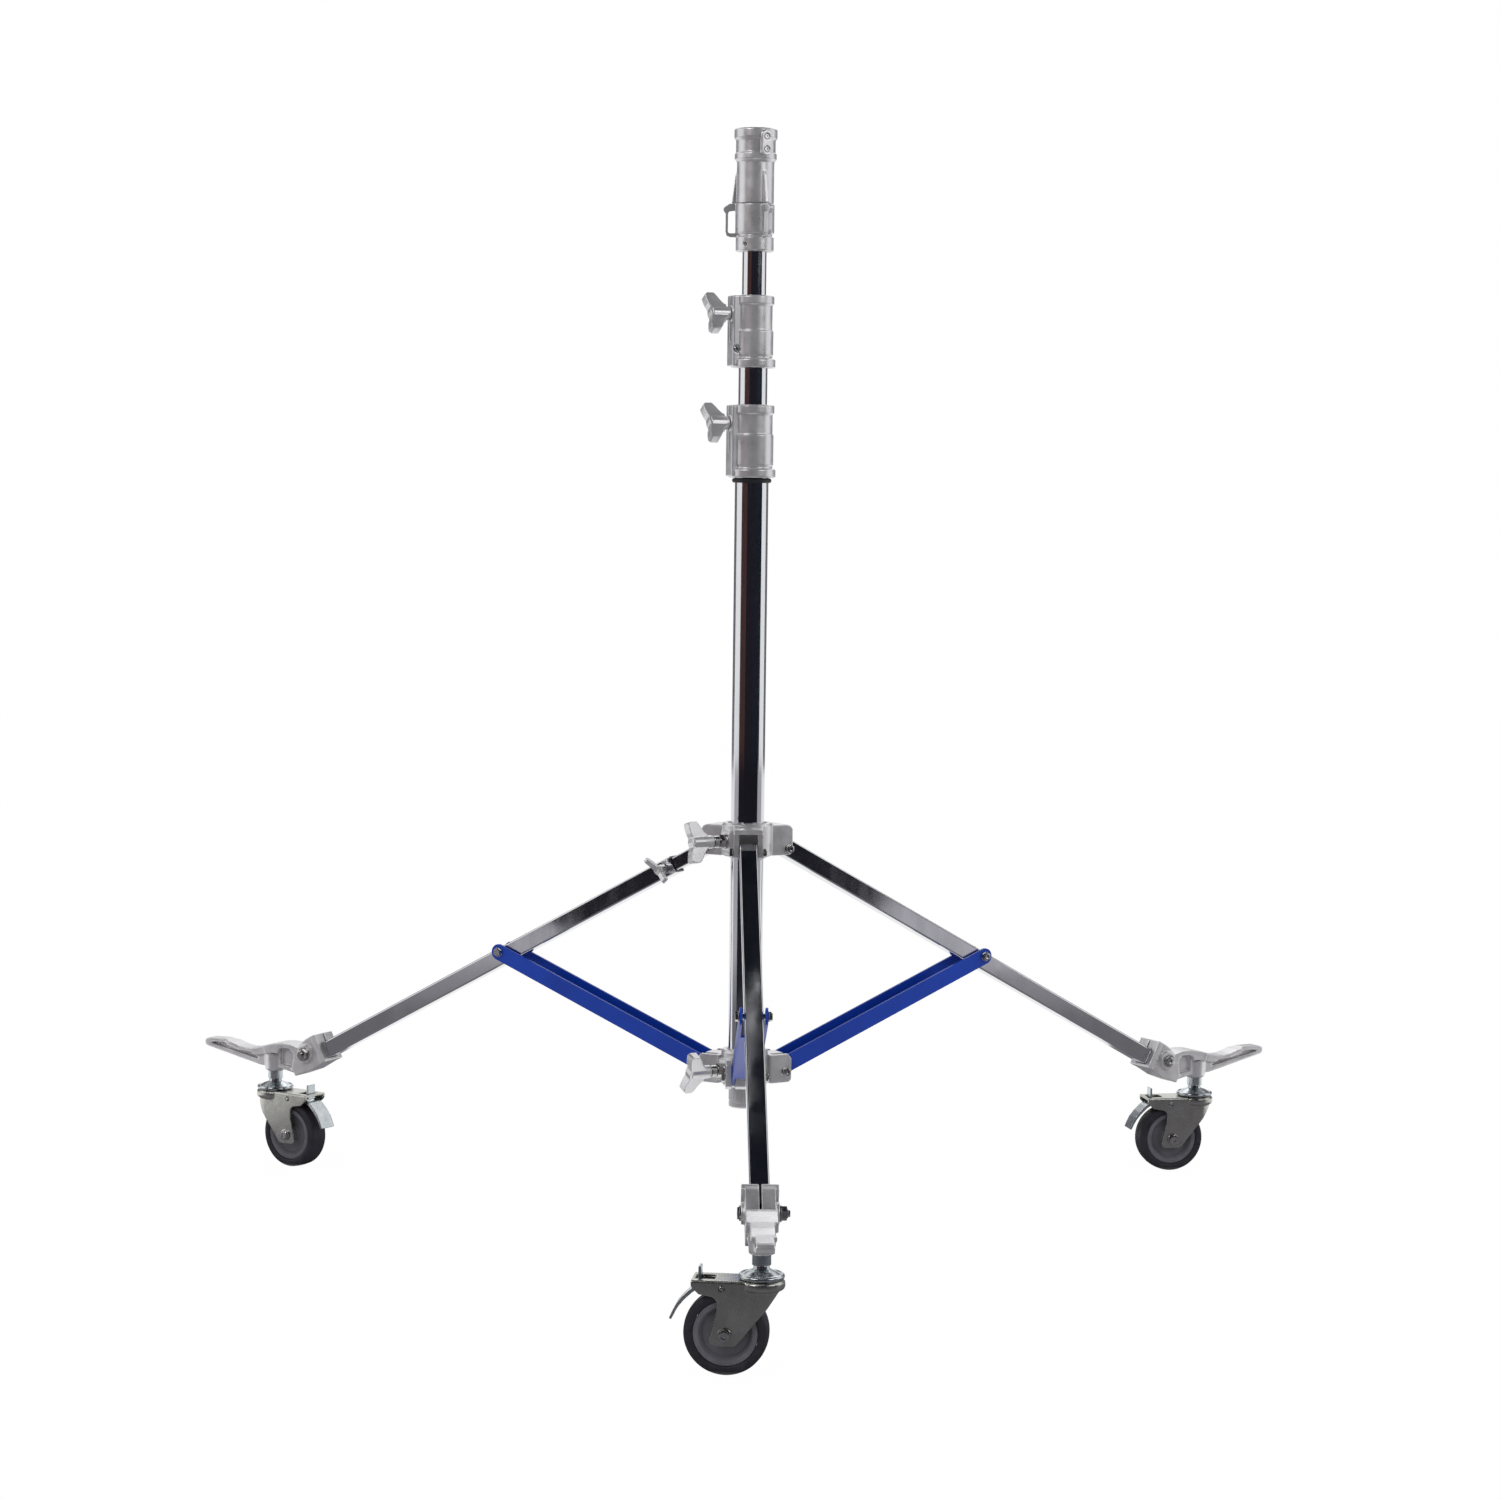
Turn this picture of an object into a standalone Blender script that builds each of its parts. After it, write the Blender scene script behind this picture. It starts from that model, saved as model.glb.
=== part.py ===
"""Rolling light stand with a folding three-leg base, two risers and three braked casters.

A leg, its foot and its brace are drawn in a side plane: x runs outward from the mast's axis,
y sideways, and z is the height over the ground. Each plane is then turned to its place.
"""

import math

import bmesh
import bpy
from mathutils import Matrix, Vector

MM = 0.001

# Fits
CLEARANCE = 0.3 * MM
SEAT = 0.3 * MM

# Tubes
MAST_RADIUS = 17.5 * MM
MAST_WALL = 1.5 * MM
MAST_BOTTOM = 146 * MM
MAST_TOP = 826 * MM
RISER_1_RADIUS = 15 * MM
RISER_1_WALL = 1.5 * MM
RISER_1_TOP = 940 * MM
RISER_2_RADIUS = 12.5 * MM
RISER_2_WALL = 1.5 * MM
RISER_2_TOP = 1056 * MM
GUIDE_LENGTH = 40 * MM
GUIDE_FOOT = 8 * MM
PLUG_LENGTH = 22 * MM
PLUG_RADIUS = 16.3 * MM
PLUG_SPIGOT = 14 * MM
REST_GAP = 4 * MM
RISER_1_BOTTOM = MAST_BOTTOM + PLUG_SPIGOT + REST_GAP + GUIDE_FOOT
RISER_2_BOTTOM = RISER_1_BOTTOM + GUIDE_LENGTH + REST_GAP + GUIDE_FOOT

# Collars on the tubes
MAST_COLLAR_BOTTOM = 782 * MM
MAST_COLLAR_TOP = 857 * MM
MAST_COLLAR_RADIUS = 22 * MM
RISER_COLLAR_BOTTOM = 895 * MM
RISER_COLLAR_TOP = 969 * MM
RISER_COLLAR_RADIUS = 20.5 * MM
COLLAR_FLANGE = 2.5 * MM
COLLAR_FLANGE_HEIGHT = 9 * MM
COLLAR_HANDLE_DROP = 19 * MM
COLLAR_BOSS_REACH = 27 * MM
COLLAR_BOSS_WIDTH = 17 * MM
COLLAR_SPLIT = 1.6 * MM
COLLAR_SPLIT_RISE = 7 * MM
COLLAR_HANDLE_ANGLE = math.radians(202)
BUMPER_THICKNESS = 3 * MM
BUMPER_HEIGHT = 5 * MM

# Receiver on the top riser
RECEIVER_BOTTOM = RISER_2_TOP + 7 * MM
RECEIVER_TOP = RECEIVER_BOTTOM + 76 * MM
RECEIVER_BORE = 14.3 * MM
RECEIVER_FLOOR = 6 * MM
BARREL_RADIUS = 19.2 * MM
RECEIVER_RING = 22.2 * MM
GUY_COLLAR_TOP = RECEIVER_BOTTOM - SEAT
GUY_COLLAR_BOTTOM = GUY_COLLAR_TOP - 48.7 * MM
GUY_COLLAR_RADIUS = 20 * MM
GUY_COLLAR_FLANGE = 17.5 * MM
FIN_THICKNESS = 4.2 * MM
FIN_REACH = 32.5 * MM
FIN_RAIL = 2.6 * MM
GUY_WINDOW_HEIGHT = 23 * MM
FIN_TURN = math.radians(60)

# Reach of the feet; the legs, the casters and the levers follow the mouth of the foot
FOOT_MOUTH_REACH = 531 * MM
LEG_END_REACH = FOOT_MOUTH_REACH + 11 * MM
CASTER_REACH = FOOT_MOUTH_REACH + 75 * MM
TIP_REACH = CASTER_REACH + 94 * MM

# Folding base: pivots in the side plane of a leg, with the legs open
LEG_ANGLES = {"front": math.radians(-90), "right": math.radians(30), "left": math.radians(150)}
UPPER_PIVOT = Vector((42 * MM, 0, 395.5 * MM))
LOWER_PIVOT = Vector((38 * MM, 0, 161 * MM))
MIDDLE_PIVOT_REACH = 298 * MM
MIDDLE_PIVOT_RISE = 5.03 * MM
PIN_RADIUS = 3 * MM
PIN_HEAD_RADIUS = 5.2 * MM
PIN_HEAD_HEIGHT = 4 * MM

# Legs: square tube, whose middle line runs a little above the upper pivot and below the middle one
LEG_SIZE = 18.5 * MM
LEG_WALL = 1.6 * MM
LEG_LINE_HEIGHT = 397.5 * MM
LEG_END_HEIGHT = 130.84 * MM
LEG_SLOPE = math.atan2(LEG_LINE_HEIGHT - LEG_END_HEIGHT, LEG_END_REACH - UPPER_PIVOT.x)
MIDDLE_LINE_HEIGHT = LEG_LINE_HEIGHT - (MIDDLE_PIVOT_REACH - UPPER_PIVOT.x) * math.tan(LEG_SLOPE)
MIDDLE_PIVOT = Vector((MIDDLE_PIVOT_REACH, 0, MIDDLE_LINE_HEIGHT + MIDDLE_PIVOT_RISE))
LEG_SPLIT_REACH = 47 * MM
STUB_SIZE = 14.4 * MM
STUB_OVERLAP = 95 * MM

# Braces: pressed channel, open side up, straddling the leg
BRACE_WIDTH = 27.5 * MM
BRACE_HEIGHT = 18 * MM
BRACE_GAUGE = 2.5 * MM
BRACE_LINE_START = Vector((51.7 * MM, 0, 170.4 * MM))
BRACE_RUN = MIDDLE_PIVOT - BRACE_LINE_START
BRACE_SLOPE = math.atan2(BRACE_RUN.z - 0.36 * MM, BRACE_RUN.x)
BRACE_WEB_INSET = 20 * MM
BRACE_WEB_CUTBACK = 56 * MM

# Spiders
UPPER_SPIDER_BOTTOM = 389 * MM
UPPER_SPIDER_TOP = 421 * MM
UPPER_SPIDER_PLAY = 2.6 * MM
UPPER_HUB_WALL = 6 * MM
UPPER_ARM_REACH = 47 * MM
UPPER_ARM_WIDTH = 30 * MM
UPPER_ARM_ROOF = 6 * MM
LOWER_SPIDER_BOTTOM = 147 * MM
LOWER_SPIDER_TOP = 185.5 * MM
LOWER_HUB_WALL = 6.5 * MM
LOWER_ARM_BOTTOM = 149.5 * MM
LOWER_ARM_TOP = 179.5 * MM
LOWER_ARM_REACH = 45.5 * MM
LOWER_CHEEK = 6 * MM
OPEN_PIVOTS = ("right", "left")
OPEN_EYE_RADIUS = 9.3 * MM
OPEN_HOLE_RADIUS = 7.3 * MM
OPEN_PLAY = 2.4 * MM
LOWER_ARM_HALF = BRACE_WIDTH / 2 + 0.8 * MM + LOWER_CHEEK
SPIDER_HANDLE_ANGLE = math.radians(210)
SPIDER_BOSS_REACH = 33 * MM
SPIDER_BOSS_WIDTH = 20 * MM
SPIDER_BOSS_HEIGHT = 24 * MM

# Clamping handles
HANDLE_SHANK = 4 * MM
HANDLE_SPAN = 43 * MM
HANDLE_DEPTH = 21 * MM
HANDLE_THICKNESS = 11 * MM
COLLAR_HANDLE_STANDOFF = 4.5 * MM
SPIDER_HANDLE_STANDOFF = 17.5 * MM

# Feet
CLAMP_WIDTH = 34 * MM
FOOT_WIDTH = 16 * MM
FOOT_WEB = 5 * MM
FOOT_BOLT = Vector((FOOT_MOUTH_REACH + 23 * MM, 0, 131 * MM))
FOOT_SLIT = 36 * MM
BOSS_RADIUS = 11.5 * MM
BOSS_BOTTOM = 107 * MM

# Casters
WHEEL_RADIUS = 37.5 * MM
WHEEL_WIDTH = 24 * MM
TYRE_DEPTH = 8.5 * MM
CASTER_TRAIL = 30 * MM
FORK_GAP = 28 * MM
FORK_GAUGE = 2.5 * MM
FORK_TOP = 85 * MM
FORK_HEAD_RADIUS = 21 * MM
FORK_TAIL = 60 * MM
CAP_RADIUS = 20.5 * MM
STEM_RADIUS = 5 * MM
STEM_COLLAR_RADIUS = 8.4 * MM
STEM_TOP = 124 * MM
AXLE_RADIUS = 4 * MM
PEDAL_PIVOT_REACH = 33 * MM
PEDAL_PIVOT_HEIGHT = 78.4 * MM
PEDAL_WIDTH = 21 * MM
SWIVEL_ANGLES = {"front": math.radians(172), "right": math.radians(190), "left": math.radians(-36)}

# Smoothness of round shapes
ROUND = 24
WHEEL_ROUND = 24
CASTER_ROUND = 20
GUIDE_ROUND = 16
HOLE_ROUND = 10
PIN_ROUND = 6

# Finishes: colour, metallic, roughness
CHROME = ((0.78, 0.78, 0.80), 1.0, 0.12)
ALUMINIUM = ((0.66, 0.66, 0.66), 0.9, 0.38)
BLUE_PAINT = ((0.02, 0.08, 0.38), 0.1, 0.35)
ZINC = ((0.50, 0.51, 0.50), 0.9, 0.35)
STEEL = ((0.60, 0.60, 0.60), 1.0, 0.25)
TYRE_RUBBER = ((0.05, 0.05, 0.06), 0.0, 0.6)
HUB_PLASTIC = ((0.10, 0.10, 0.11), 0.0, 0.45)
BLACK_RUBBER = ((0.02, 0.02, 0.02), 0.0, 0.7)
GUIDE_PLASTIC = ((0.03, 0.03, 0.03), 0.0, 0.5)

FRAMES = {}


def clear_scene():
    for obj in list(bpy.data.objects):
        bpy.data.objects.remove(obj, do_unlink=True)


def turn(angle, axis="Z"):
    return Matrix.Rotation(angle, 4, axis)


def shift(x=0.0, y=0.0, z=0.0):
    return Matrix.Translation((x, y, z))


def link(obj, frame, parent):
    """Put an object at a frame given in the stand's own space, under its parent."""
    bpy.context.scene.collection.objects.link(obj)
    FRAMES[obj.name] = frame.copy()
    if parent is None:
        obj.matrix_basis = frame
    else:
        obj.parent = parent
        obj.matrix_basis = FRAMES[parent.name].inverted() @ frame
    return obj


def add_empty(name, frame, parent):
    return link(bpy.data.objects.new(name, None), frame, parent)


def new_material(name, finish):
    colour, metallic, roughness = finish
    material = bpy.data.materials.new(name + "_finish")
    material.use_nodes = True
    shader = material.node_tree.nodes["Principled BSDF"]
    shader.inputs["Base Color"].default_value = (*colour, 1.0)
    shader.inputs["Metallic"].default_value = metallic
    shader.inputs["Roughness"].default_value = roughness
    material.diffuse_color = (*colour, 1.0)
    return material


def add_mesh(name, bm, frame, parent):
    bmesh.ops.recalc_face_normals(bm, faces=bm.faces)
    mesh = bpy.data.meshes.new(name)
    bm.to_mesh(mesh)
    bm.free()
    return link(bpy.data.objects.new(name, mesh), frame, parent)


def add_piece(name, bm, finish, frame, parent):
    """A real piece of the stand, with its own material."""
    obj = add_mesh(name, bm, frame, parent)
    obj.data.materials.append(new_material(name, finish))
    obj.data.shade_smooth()
    obj.data.set_sharp_from_angle(angle=math.radians(35))
    return obj


def add_tool(name, bm, frame, parent):
    """A shape that only cuts or extends a piece."""
    obj = add_mesh(name, bm, frame, parent)
    obj.hide_render = True
    obj.display_type = "WIRE"
    return obj


def combine(piece, tool, operation):
    modifier = piece.modifiers.new(tool.name, "BOOLEAN")
    modifier.operation = operation
    modifier.solver = "EXACT"
    modifier.object = tool


def cut(piece, bm, frame, parent):
    number = len(piece.modifiers)
    tool = add_tool(f"{piece.name}_cut_{number}", bm, frame, parent)
    combine(piece, tool, "DIFFERENCE")


def extend(piece, bm, frame, parent):
    number = len(piece.modifiers)
    tool = add_tool(f"{piece.name}_more_{number}", bm, frame, parent)
    combine(piece, tool, "UNION")


def bevel(piece, width, segments=1, angle=40):
    modifier = piece.modifiers.new("edge_rounding", "BEVEL")
    modifier.width = width
    modifier.segments = segments
    modifier.limit_method = "ANGLE"
    modifier.angle_limit = math.radians(angle)


def turned(profile, segments=ROUND):
    """A turned solid from a closed profile of (radius, height) points."""
    bm = bmesh.new()
    verts = [bm.verts.new((radius, 0, height)) for radius, height in profile]
    edges = [bm.edges.new(pair) for pair in zip(verts, verts[1:] + verts[:1])]
    axis_edges = [edge for edge in edges if all(vert.co.x < 1e-7 for vert in edge.verts)]
    edges = [edge for edge in edges if edge not in axis_edges]
    if axis_edges:
        bmesh.ops.delete(bm, geom=axis_edges, context="EDGES_FACES")
    bmesh.ops.spin(
        bm, geom=verts + edges, axis=(0, 0, 1), cent=(0, 0, 0), steps=round(segments),
        angle=math.tau, use_merge=True, use_duplicate=False,
    )
    bmesh.ops.remove_doubles(bm, verts=bm.verts, dist=1e-6)
    return bm


def drum(radius, low, high, segments=ROUND):
    return turned([(0, low), (radius, low), (radius, high), (0, high)], segments)


def ring(inner, outer, low, high, segments=ROUND):
    return turned([(inner, low), (outer, low), (outer, high), (inner, high)], segments)


def outline(points, half_width):
    """A plate from an outline of (x, z) points, its thickness along y."""
    bm = bmesh.new()
    face = bm.faces.new([bm.verts.new((x, -half_width, z)) for x, z in points])
    extruded = bmesh.ops.extrude_face_region(bm, geom=[face])
    moved = [item for item in extruded["geom"] if isinstance(item, bmesh.types.BMVert)]
    bmesh.ops.translate(bm, verts=moved, vec=(0, 2 * half_width, 0))
    return bm


def block(low, high):
    """A box between two corners."""
    bm = bmesh.new()
    bmesh.ops.create_cube(bm, size=1.0)
    size = Vector(high) - Vector(low)
    middle = (Vector(high) + Vector(low)) / 2
    bmesh.ops.scale(bm, verts=bm.verts, vec=size)
    bmesh.ops.translate(bm, verts=bm.verts, vec=middle)
    return bm


def arc(centre, radius, start, end, steps):
    """Points of (x, z) along an arc, angles in degrees."""
    points = []
    for step in range(steps + 1):
        angle = math.radians(start + (end - start) * step / steps)
        points.append((centre[0] + radius * math.cos(angle), centre[1] + radius * math.sin(angle)))
    return points


def cross_drum(radius, half_length, segments=HOLE_ROUND):
    """A round bar along y."""
    bm = drum(radius, -half_length, half_length, segments)
    bmesh.ops.rotate(bm, verts=bm.verts, matrix=Matrix.Rotation(math.radians(90), 3, "X"))
    return bm


def leg_line(reach):
    """Height of the leg's middle line over a distance from the mast's axis."""
    return LEG_LINE_HEIGHT - (reach - UPPER_PIVOT.x) * math.tan(LEG_SLOPE)


def make_mast(root):
    base = Matrix.Identity(4)
    inner = MAST_RADIUS - MAST_WALL
    add_piece("mast_tube", ring(inner, MAST_RADIUS, MAST_BOTTOM, MAST_TOP), CHROME, base, root)
    bottom = MAST_BOTTOM - PLUG_LENGTH
    groove = bottom + 6 * MM
    spigot = inner - CLEARANCE
    plug = [
        (0, bottom), (PLUG_RADIUS - 1 * MM, bottom), (PLUG_RADIUS, bottom + 1 * MM),
        (PLUG_RADIUS, groove), (PLUG_RADIUS - 0.8 * MM, groove + 0.5 * MM),
        (PLUG_RADIUS - 0.8 * MM, groove + 1.5 * MM), (PLUG_RADIUS, groove + 2 * MM),
        (PLUG_RADIUS, MAST_BOTTOM - SEAT), (spigot, MAST_BOTTOM - SEAT),
        (spigot, MAST_BOTTOM + PLUG_SPIGOT), (0, MAST_BOTTOM + PLUG_SPIGOT),
    ]
    add_piece("mast_plug", turned(plug, GUIDE_ROUND), ALUMINIUM, base, root)
    bumper_top = MAST_COLLAR_BOTTOM - SEAT
    bumper_bottom = bumper_top - BUMPER_HEIGHT
    outer = MAST_RADIUS + BUMPER_THICKNESS
    bore = MAST_RADIUS + CLEARANCE
    bumper = [
        (bore, bumper_bottom), (outer - 1 * MM, bumper_bottom), (outer, bumper_bottom + 1 * MM),
        (outer, bumper_top - 1 * MM), (outer - 1 * MM, bumper_top), (bore, bumper_top),
    ]
    add_piece("mast_bumper_ring", turned(bumper), BLACK_RUBBER, base, root)
    make_collar("mast_collar", MAST_COLLAR_BOTTOM, MAST_COLLAR_TOP, MAST_COLLAR_RADIUS,
                MAST_RADIUS, MAST_TOP, RISER_1_RADIUS, root)


def make_collar(name, low, high, radius, tube_radius, tube_top, riser_radius, parent):
    """A cast collar that sits on a tube's top end and clamps the riser that slides in it."""
    base = Matrix.Identity(4)
    flange = radius + COLLAR_FLANGE
    flange_top = low + COLLAR_FLANGE_HEIGHT
    step = tube_top + 3 * MM
    bore = tube_radius + CLEARANCE
    throat = riser_radius + CLEARANCE
    ledge = tube_top + SEAT
    profile = [
        (bore, low), (flange, low), (flange, flange_top - 1 * MM), (flange - 1 * MM, flange_top),
        (radius - 0.8 * MM, flange_top + 0.8 * MM), (radius - 0.8 * MM, flange_top + 3 * MM),
        (radius, flange_top + 4 * MM), (radius, step), (radius - 0.9 * MM, step + 0.9 * MM),
        (radius - 0.9 * MM, high - 9 * MM), (radius + 0.4 * MM, high - 8 * MM),
        (radius + 0.4 * MM, high - 1.2 * MM), (radius - 1 * MM, high),
        (throat, high), (throat, ledge), (bore, ledge),
    ]
    collar = add_piece(name, turned(profile), ALUMINIUM, base, parent)
    screw_height = high - COLLAR_HANDLE_DROP
    boss_frame = turn(COLLAR_HANDLE_ANGLE) @ shift(z=screw_height)
    half_width = COLLAR_BOSS_WIDTH / 2
    boss = block((bore + 0.8 * MM, -half_width, low + 1.5 * MM - screw_height),
                 (COLLAR_BOSS_REACH, half_width, high - 0.6 * MM - screw_height))
    bmesh.ops.bevel(boss, geom=boss.edges[:], offset=2 * MM, segments=1, profile=0.5,
                    affect="EDGES", material=-1)
    extend(collar, boss, boss_frame, parent)
    hole = drum(HANDLE_SHANK + CLEARANCE, 0, COLLAR_BOSS_REACH + 5 * MM, HOLE_ROUND)
    cut(collar, hole, boss_frame @ turn(math.radians(90), "Y"), parent)
    split = block((throat - 2 * MM, -COLLAR_SPLIT / 2, COLLAR_SPLIT_RISE),
                  (COLLAR_BOSS_REACH + 5 * MM, COLLAR_SPLIT / 2, high - screw_height + 5 * MM))
    cut(collar, split, boss_frame, parent)


def make_handle(name, seat_reach, standoff, height, angle, shank_reach, roll, parent):
    """A cast wing handle on a threaded shank that runs in toward the tube."""
    frame = turn(angle) @ shift(x=seat_reach, z=height)
    joint = add_empty(name + "_joint", frame, parent)
    rolled = frame @ turn(roll, "X")
    half = HANDLE_SPAN / 2
    hub = 7.5 * MM
    back = standoff
    front = back + HANDLE_DEPTH
    upper = [
        (back, hub), (back + 3 * MM, hub + 2 * MM), (back + 9 * MM, half - 2.5 * MM),
        (back + 11 * MM, half), (front - 2 * MM, half), (front, half - 2 * MM),
        (front - 1.5 * MM, hub + 2.5 * MM), (front - 3.5 * MM, hub - 2.5 * MM),
        (front - 2.5 * MM, 0),
    ]
    lower = [(x, -z) for x, z in reversed(upper[:-1])]
    handle = add_piece(name, outline(upper + lower, HANDLE_THICKNESS / 2), ALUMINIUM, rolled, joint)
    bevel(handle, 1.4 * MM, 1)
    shank = drum(HANDLE_SHANK, shank_reach - seat_reach, back + 4 * MM, HOLE_ROUND)
    neck = drum(6.2 * MM, back - 4 * MM, back + 3 * MM, HOLE_ROUND)
    sideways = rolled @ turn(math.radians(90), "Y")
    extend(handle, shank, sideways, joint)
    extend(handle, neck, sideways, joint)


def make_risers(root):
    base = Matrix.Identity(4)
    first = add_empty("riser_1_joint", shift(z=MAST_TOP), root)
    tube = ring(RISER_1_RADIUS - RISER_1_WALL, RISER_1_RADIUS, RISER_1_BOTTOM, RISER_1_TOP)
    add_piece("riser_1_tube", tube, CHROME, base, first)
    make_guide("riser_1_guide", RISER_1_BOTTOM, RISER_1_RADIUS, RISER_1_WALL,
               MAST_RADIUS - MAST_WALL, first)
    make_collar("riser_collar", RISER_COLLAR_BOTTOM, RISER_COLLAR_TOP, RISER_COLLAR_RADIUS,
                RISER_1_RADIUS, RISER_1_TOP, RISER_2_RADIUS, first)
    second = add_empty("riser_2_joint", shift(z=RISER_1_TOP), first)
    tube = ring(RISER_2_RADIUS - RISER_2_WALL, RISER_2_RADIUS, RISER_2_BOTTOM, RISER_2_TOP)
    add_piece("riser_2_tube", tube, CHROME, base, second)
    make_guide("riser_2_guide", RISER_2_BOTTOM, RISER_2_RADIUS, RISER_2_WALL,
               RISER_1_RADIUS - RISER_1_WALL, second)
    return first, second


def make_guide(name, tube_bottom, tube_radius, tube_wall, guide_radius, parent):
    """A plastic foot in the riser's lower end that runs inside the tube around it."""
    inside = tube_radius - tube_wall - CLEARANCE
    outside = guide_radius - CLEARANCE
    low = tube_bottom - GUIDE_FOOT
    shoulder = tube_bottom - SEAT
    profile = [
        (inside - 3 * MM, low), (outside, low), (outside, shoulder), (inside, shoulder),
        (inside, tube_bottom + GUIDE_LENGTH), (inside - 3 * MM, tube_bottom + GUIDE_LENGTH),
    ]
    add_piece(name, turned(profile, GUIDE_ROUND), GUIDE_PLASTIC, Matrix.Identity(4), parent)


def make_receiver(parent):
    """The socket for a spigot, and the collar with three guy-line loops under it."""
    base = Matrix.Identity(4)
    top = RECEIVER_TOP
    low = RECEIVER_BOTTOM
    profile = [
        (0, low), (BARREL_RADIUS, low), (BARREL_RADIUS, top - 33 * MM),
        (RECEIVER_RING - 1.5 * MM, top - 31.5 * MM), (RECEIVER_RING - 1 * MM, top - 24 * MM),
        (RECEIVER_RING, top - 23 * MM), (RECEIVER_RING, top - 15 * MM),
        (RECEIVER_RING - 0.8 * MM, top - 14 * MM), (RECEIVER_RING - 0.8 * MM, top - 10 * MM),
        (RECEIVER_RING, top - 9 * MM), (RECEIVER_RING, top - 1.2 * MM),
        (RECEIVER_RING - 1.2 * MM, top), (RECEIVER_BORE + 1 * MM, top),
        (RECEIVER_BORE, top - 1 * MM), (RECEIVER_BORE, low + RECEIVER_FLOOR),
        (0, low + RECEIVER_FLOOR),
    ]
    barrel = add_piece("receiver_barrel", turned(profile), ALUMINIUM, base, parent)
    boss = block((RECEIVER_RING - 4 * MM, -5 * MM, top - 29 * MM),
                 (RECEIVER_RING + 3 * MM, 5 * MM, top - 3 * MM))
    bmesh.ops.bevel(boss, geom=boss.edges[:], offset=2 * MM, segments=1, profile=0.5,
                    affect="EDGES", material=-1)
    extend(barrel, boss, turn(math.radians(-57)), parent)
    for number in range(3):
        fin_frame = turn(FIN_TURN + number * math.tau / 3)
        taper = [
            (BARREL_RADIUS - 3 * MM, low), (BARREL_RADIUS + 5 * MM, low),
            (BARREL_RADIUS + 1.5 * MM, low + 24 * MM), (BARREL_RADIUS - 3 * MM, low + 42 * MM),
        ]
        extend(barrel, outline(taper, FIN_THICKNESS / 2), fin_frame, parent)
    make_guy_collar(parent)


def make_guy_collar(parent):
    base = Matrix.Identity(4)
    low = GUY_COLLAR_BOTTOM
    top = GUY_COLLAR_TOP
    bore = RISER_2_RADIUS + CLEARANCE
    lip = 17 * MM
    profile = [
        (bore, low), (GUY_COLLAR_RADIUS - 1.2 * MM, low), (GUY_COLLAR_RADIUS - 0.4 * MM, low + 1 * MM),
        (GUY_COLLAR_RADIUS - 0.4 * MM, low + 14 * MM), (GUY_COLLAR_FLANGE, low + 16 * MM),
        (GUY_COLLAR_FLANGE, low + lip), (GUY_COLLAR_RADIUS, low + 20 * MM),
        (GUY_COLLAR_RADIUS, top), (0, top), (0, RISER_2_TOP + SEAT), (bore, RISER_2_TOP + SEAT),
    ]
    collar = add_piece("guy_collar", turned(profile), ALUMINIUM, base, parent)
    window_low = low + 18.5 * MM
    window_high = window_low + GUY_WINDOW_HEIGHT
    inner = GUY_COLLAR_RADIUS - 5 * MM
    loop = [
        (inner, top), (FIN_REACH - 6 * MM, top), (FIN_REACH, window_high + 3 * MM),
        (FIN_REACH, window_high), (FIN_REACH - 2.2 * MM, window_high - 3 * MM),
        (FIN_REACH - 2.2 * MM, window_low + 2 * MM), (FIN_REACH - 3.4 * MM, window_low - 2.6 * MM),
        (FIN_REACH - 7 * MM, window_low - 4 * MM), (inner, window_low - 4 * MM),
    ]
    window = [
        (GUY_COLLAR_RADIUS + 0.2 * MM, window_low), (FIN_REACH - 2.2 * MM - FIN_RAIL, window_low),
        (FIN_REACH - 2.2 * MM - FIN_RAIL, window_high - 3 * MM),
        (FIN_REACH - 5 * MM, window_high - 1 * MM), (GUY_COLLAR_RADIUS + 0.2 * MM, window_high),
    ]
    for number in range(3):
        fin_frame = turn(FIN_TURN + number * math.tau / 3)
        extend(collar, outline(loop, FIN_THICKNESS / 2), fin_frame, parent)
        cut(collar, outline(window, FIN_THICKNESS), fin_frame, parent)


def make_upper_spider(parent):
    base = Matrix.Identity(4)
    low = UPPER_SPIDER_BOTTOM
    top = UPPER_SPIDER_TOP
    bore = MAST_RADIUS + UPPER_SPIDER_PLAY
    hub = bore + UPPER_HUB_WALL
    profile = [
        (bore, low), (hub, low), (hub, top + 1.5 * MM), (hub - 1.5 * MM, top + 3 * MM),
        (bore + 1 * MM, top + 3 * MM), (bore, top + 2 * MM),
    ]
    spider = add_piece("upper_spider", turned(profile), ALUMINIUM, base, parent)
    half = UPPER_ARM_WIDTH / 2
    slot = LEG_SIZE / 2 + 0.45 * MM
    slot_start = UPPER_PIVOT.x - LEG_SIZE / 2 - 1.6 * MM
    for angle in LEG_ANGLES.values():
        arm = block((bore + 2 * MM, -half, low), (UPPER_ARM_REACH, half, top))
        bmesh.ops.bevel(arm, geom=arm.edges[:], offset=2 * MM, segments=1, profile=0.5,
                        affect="EDGES", material=-1)
        extend(spider, arm, turn(angle), parent)
    for angle in LEG_ANGLES.values():
        channel = block((slot_start, -slot, low - 5 * MM),
                        (UPPER_ARM_REACH + 5 * MM, slot, top - UPPER_ARM_ROOF))
        cut(spider, channel, turn(angle), parent)
        hole = cross_drum(PIN_RADIUS + CLEARANCE, UPPER_ARM_WIDTH)
        cut(spider, hole, turn(angle) @ Matrix.Translation(UPPER_PIVOT), parent)
    height = (low + top) / 2
    add_spider_boss(spider, height, bore, parent)
    return height


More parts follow.
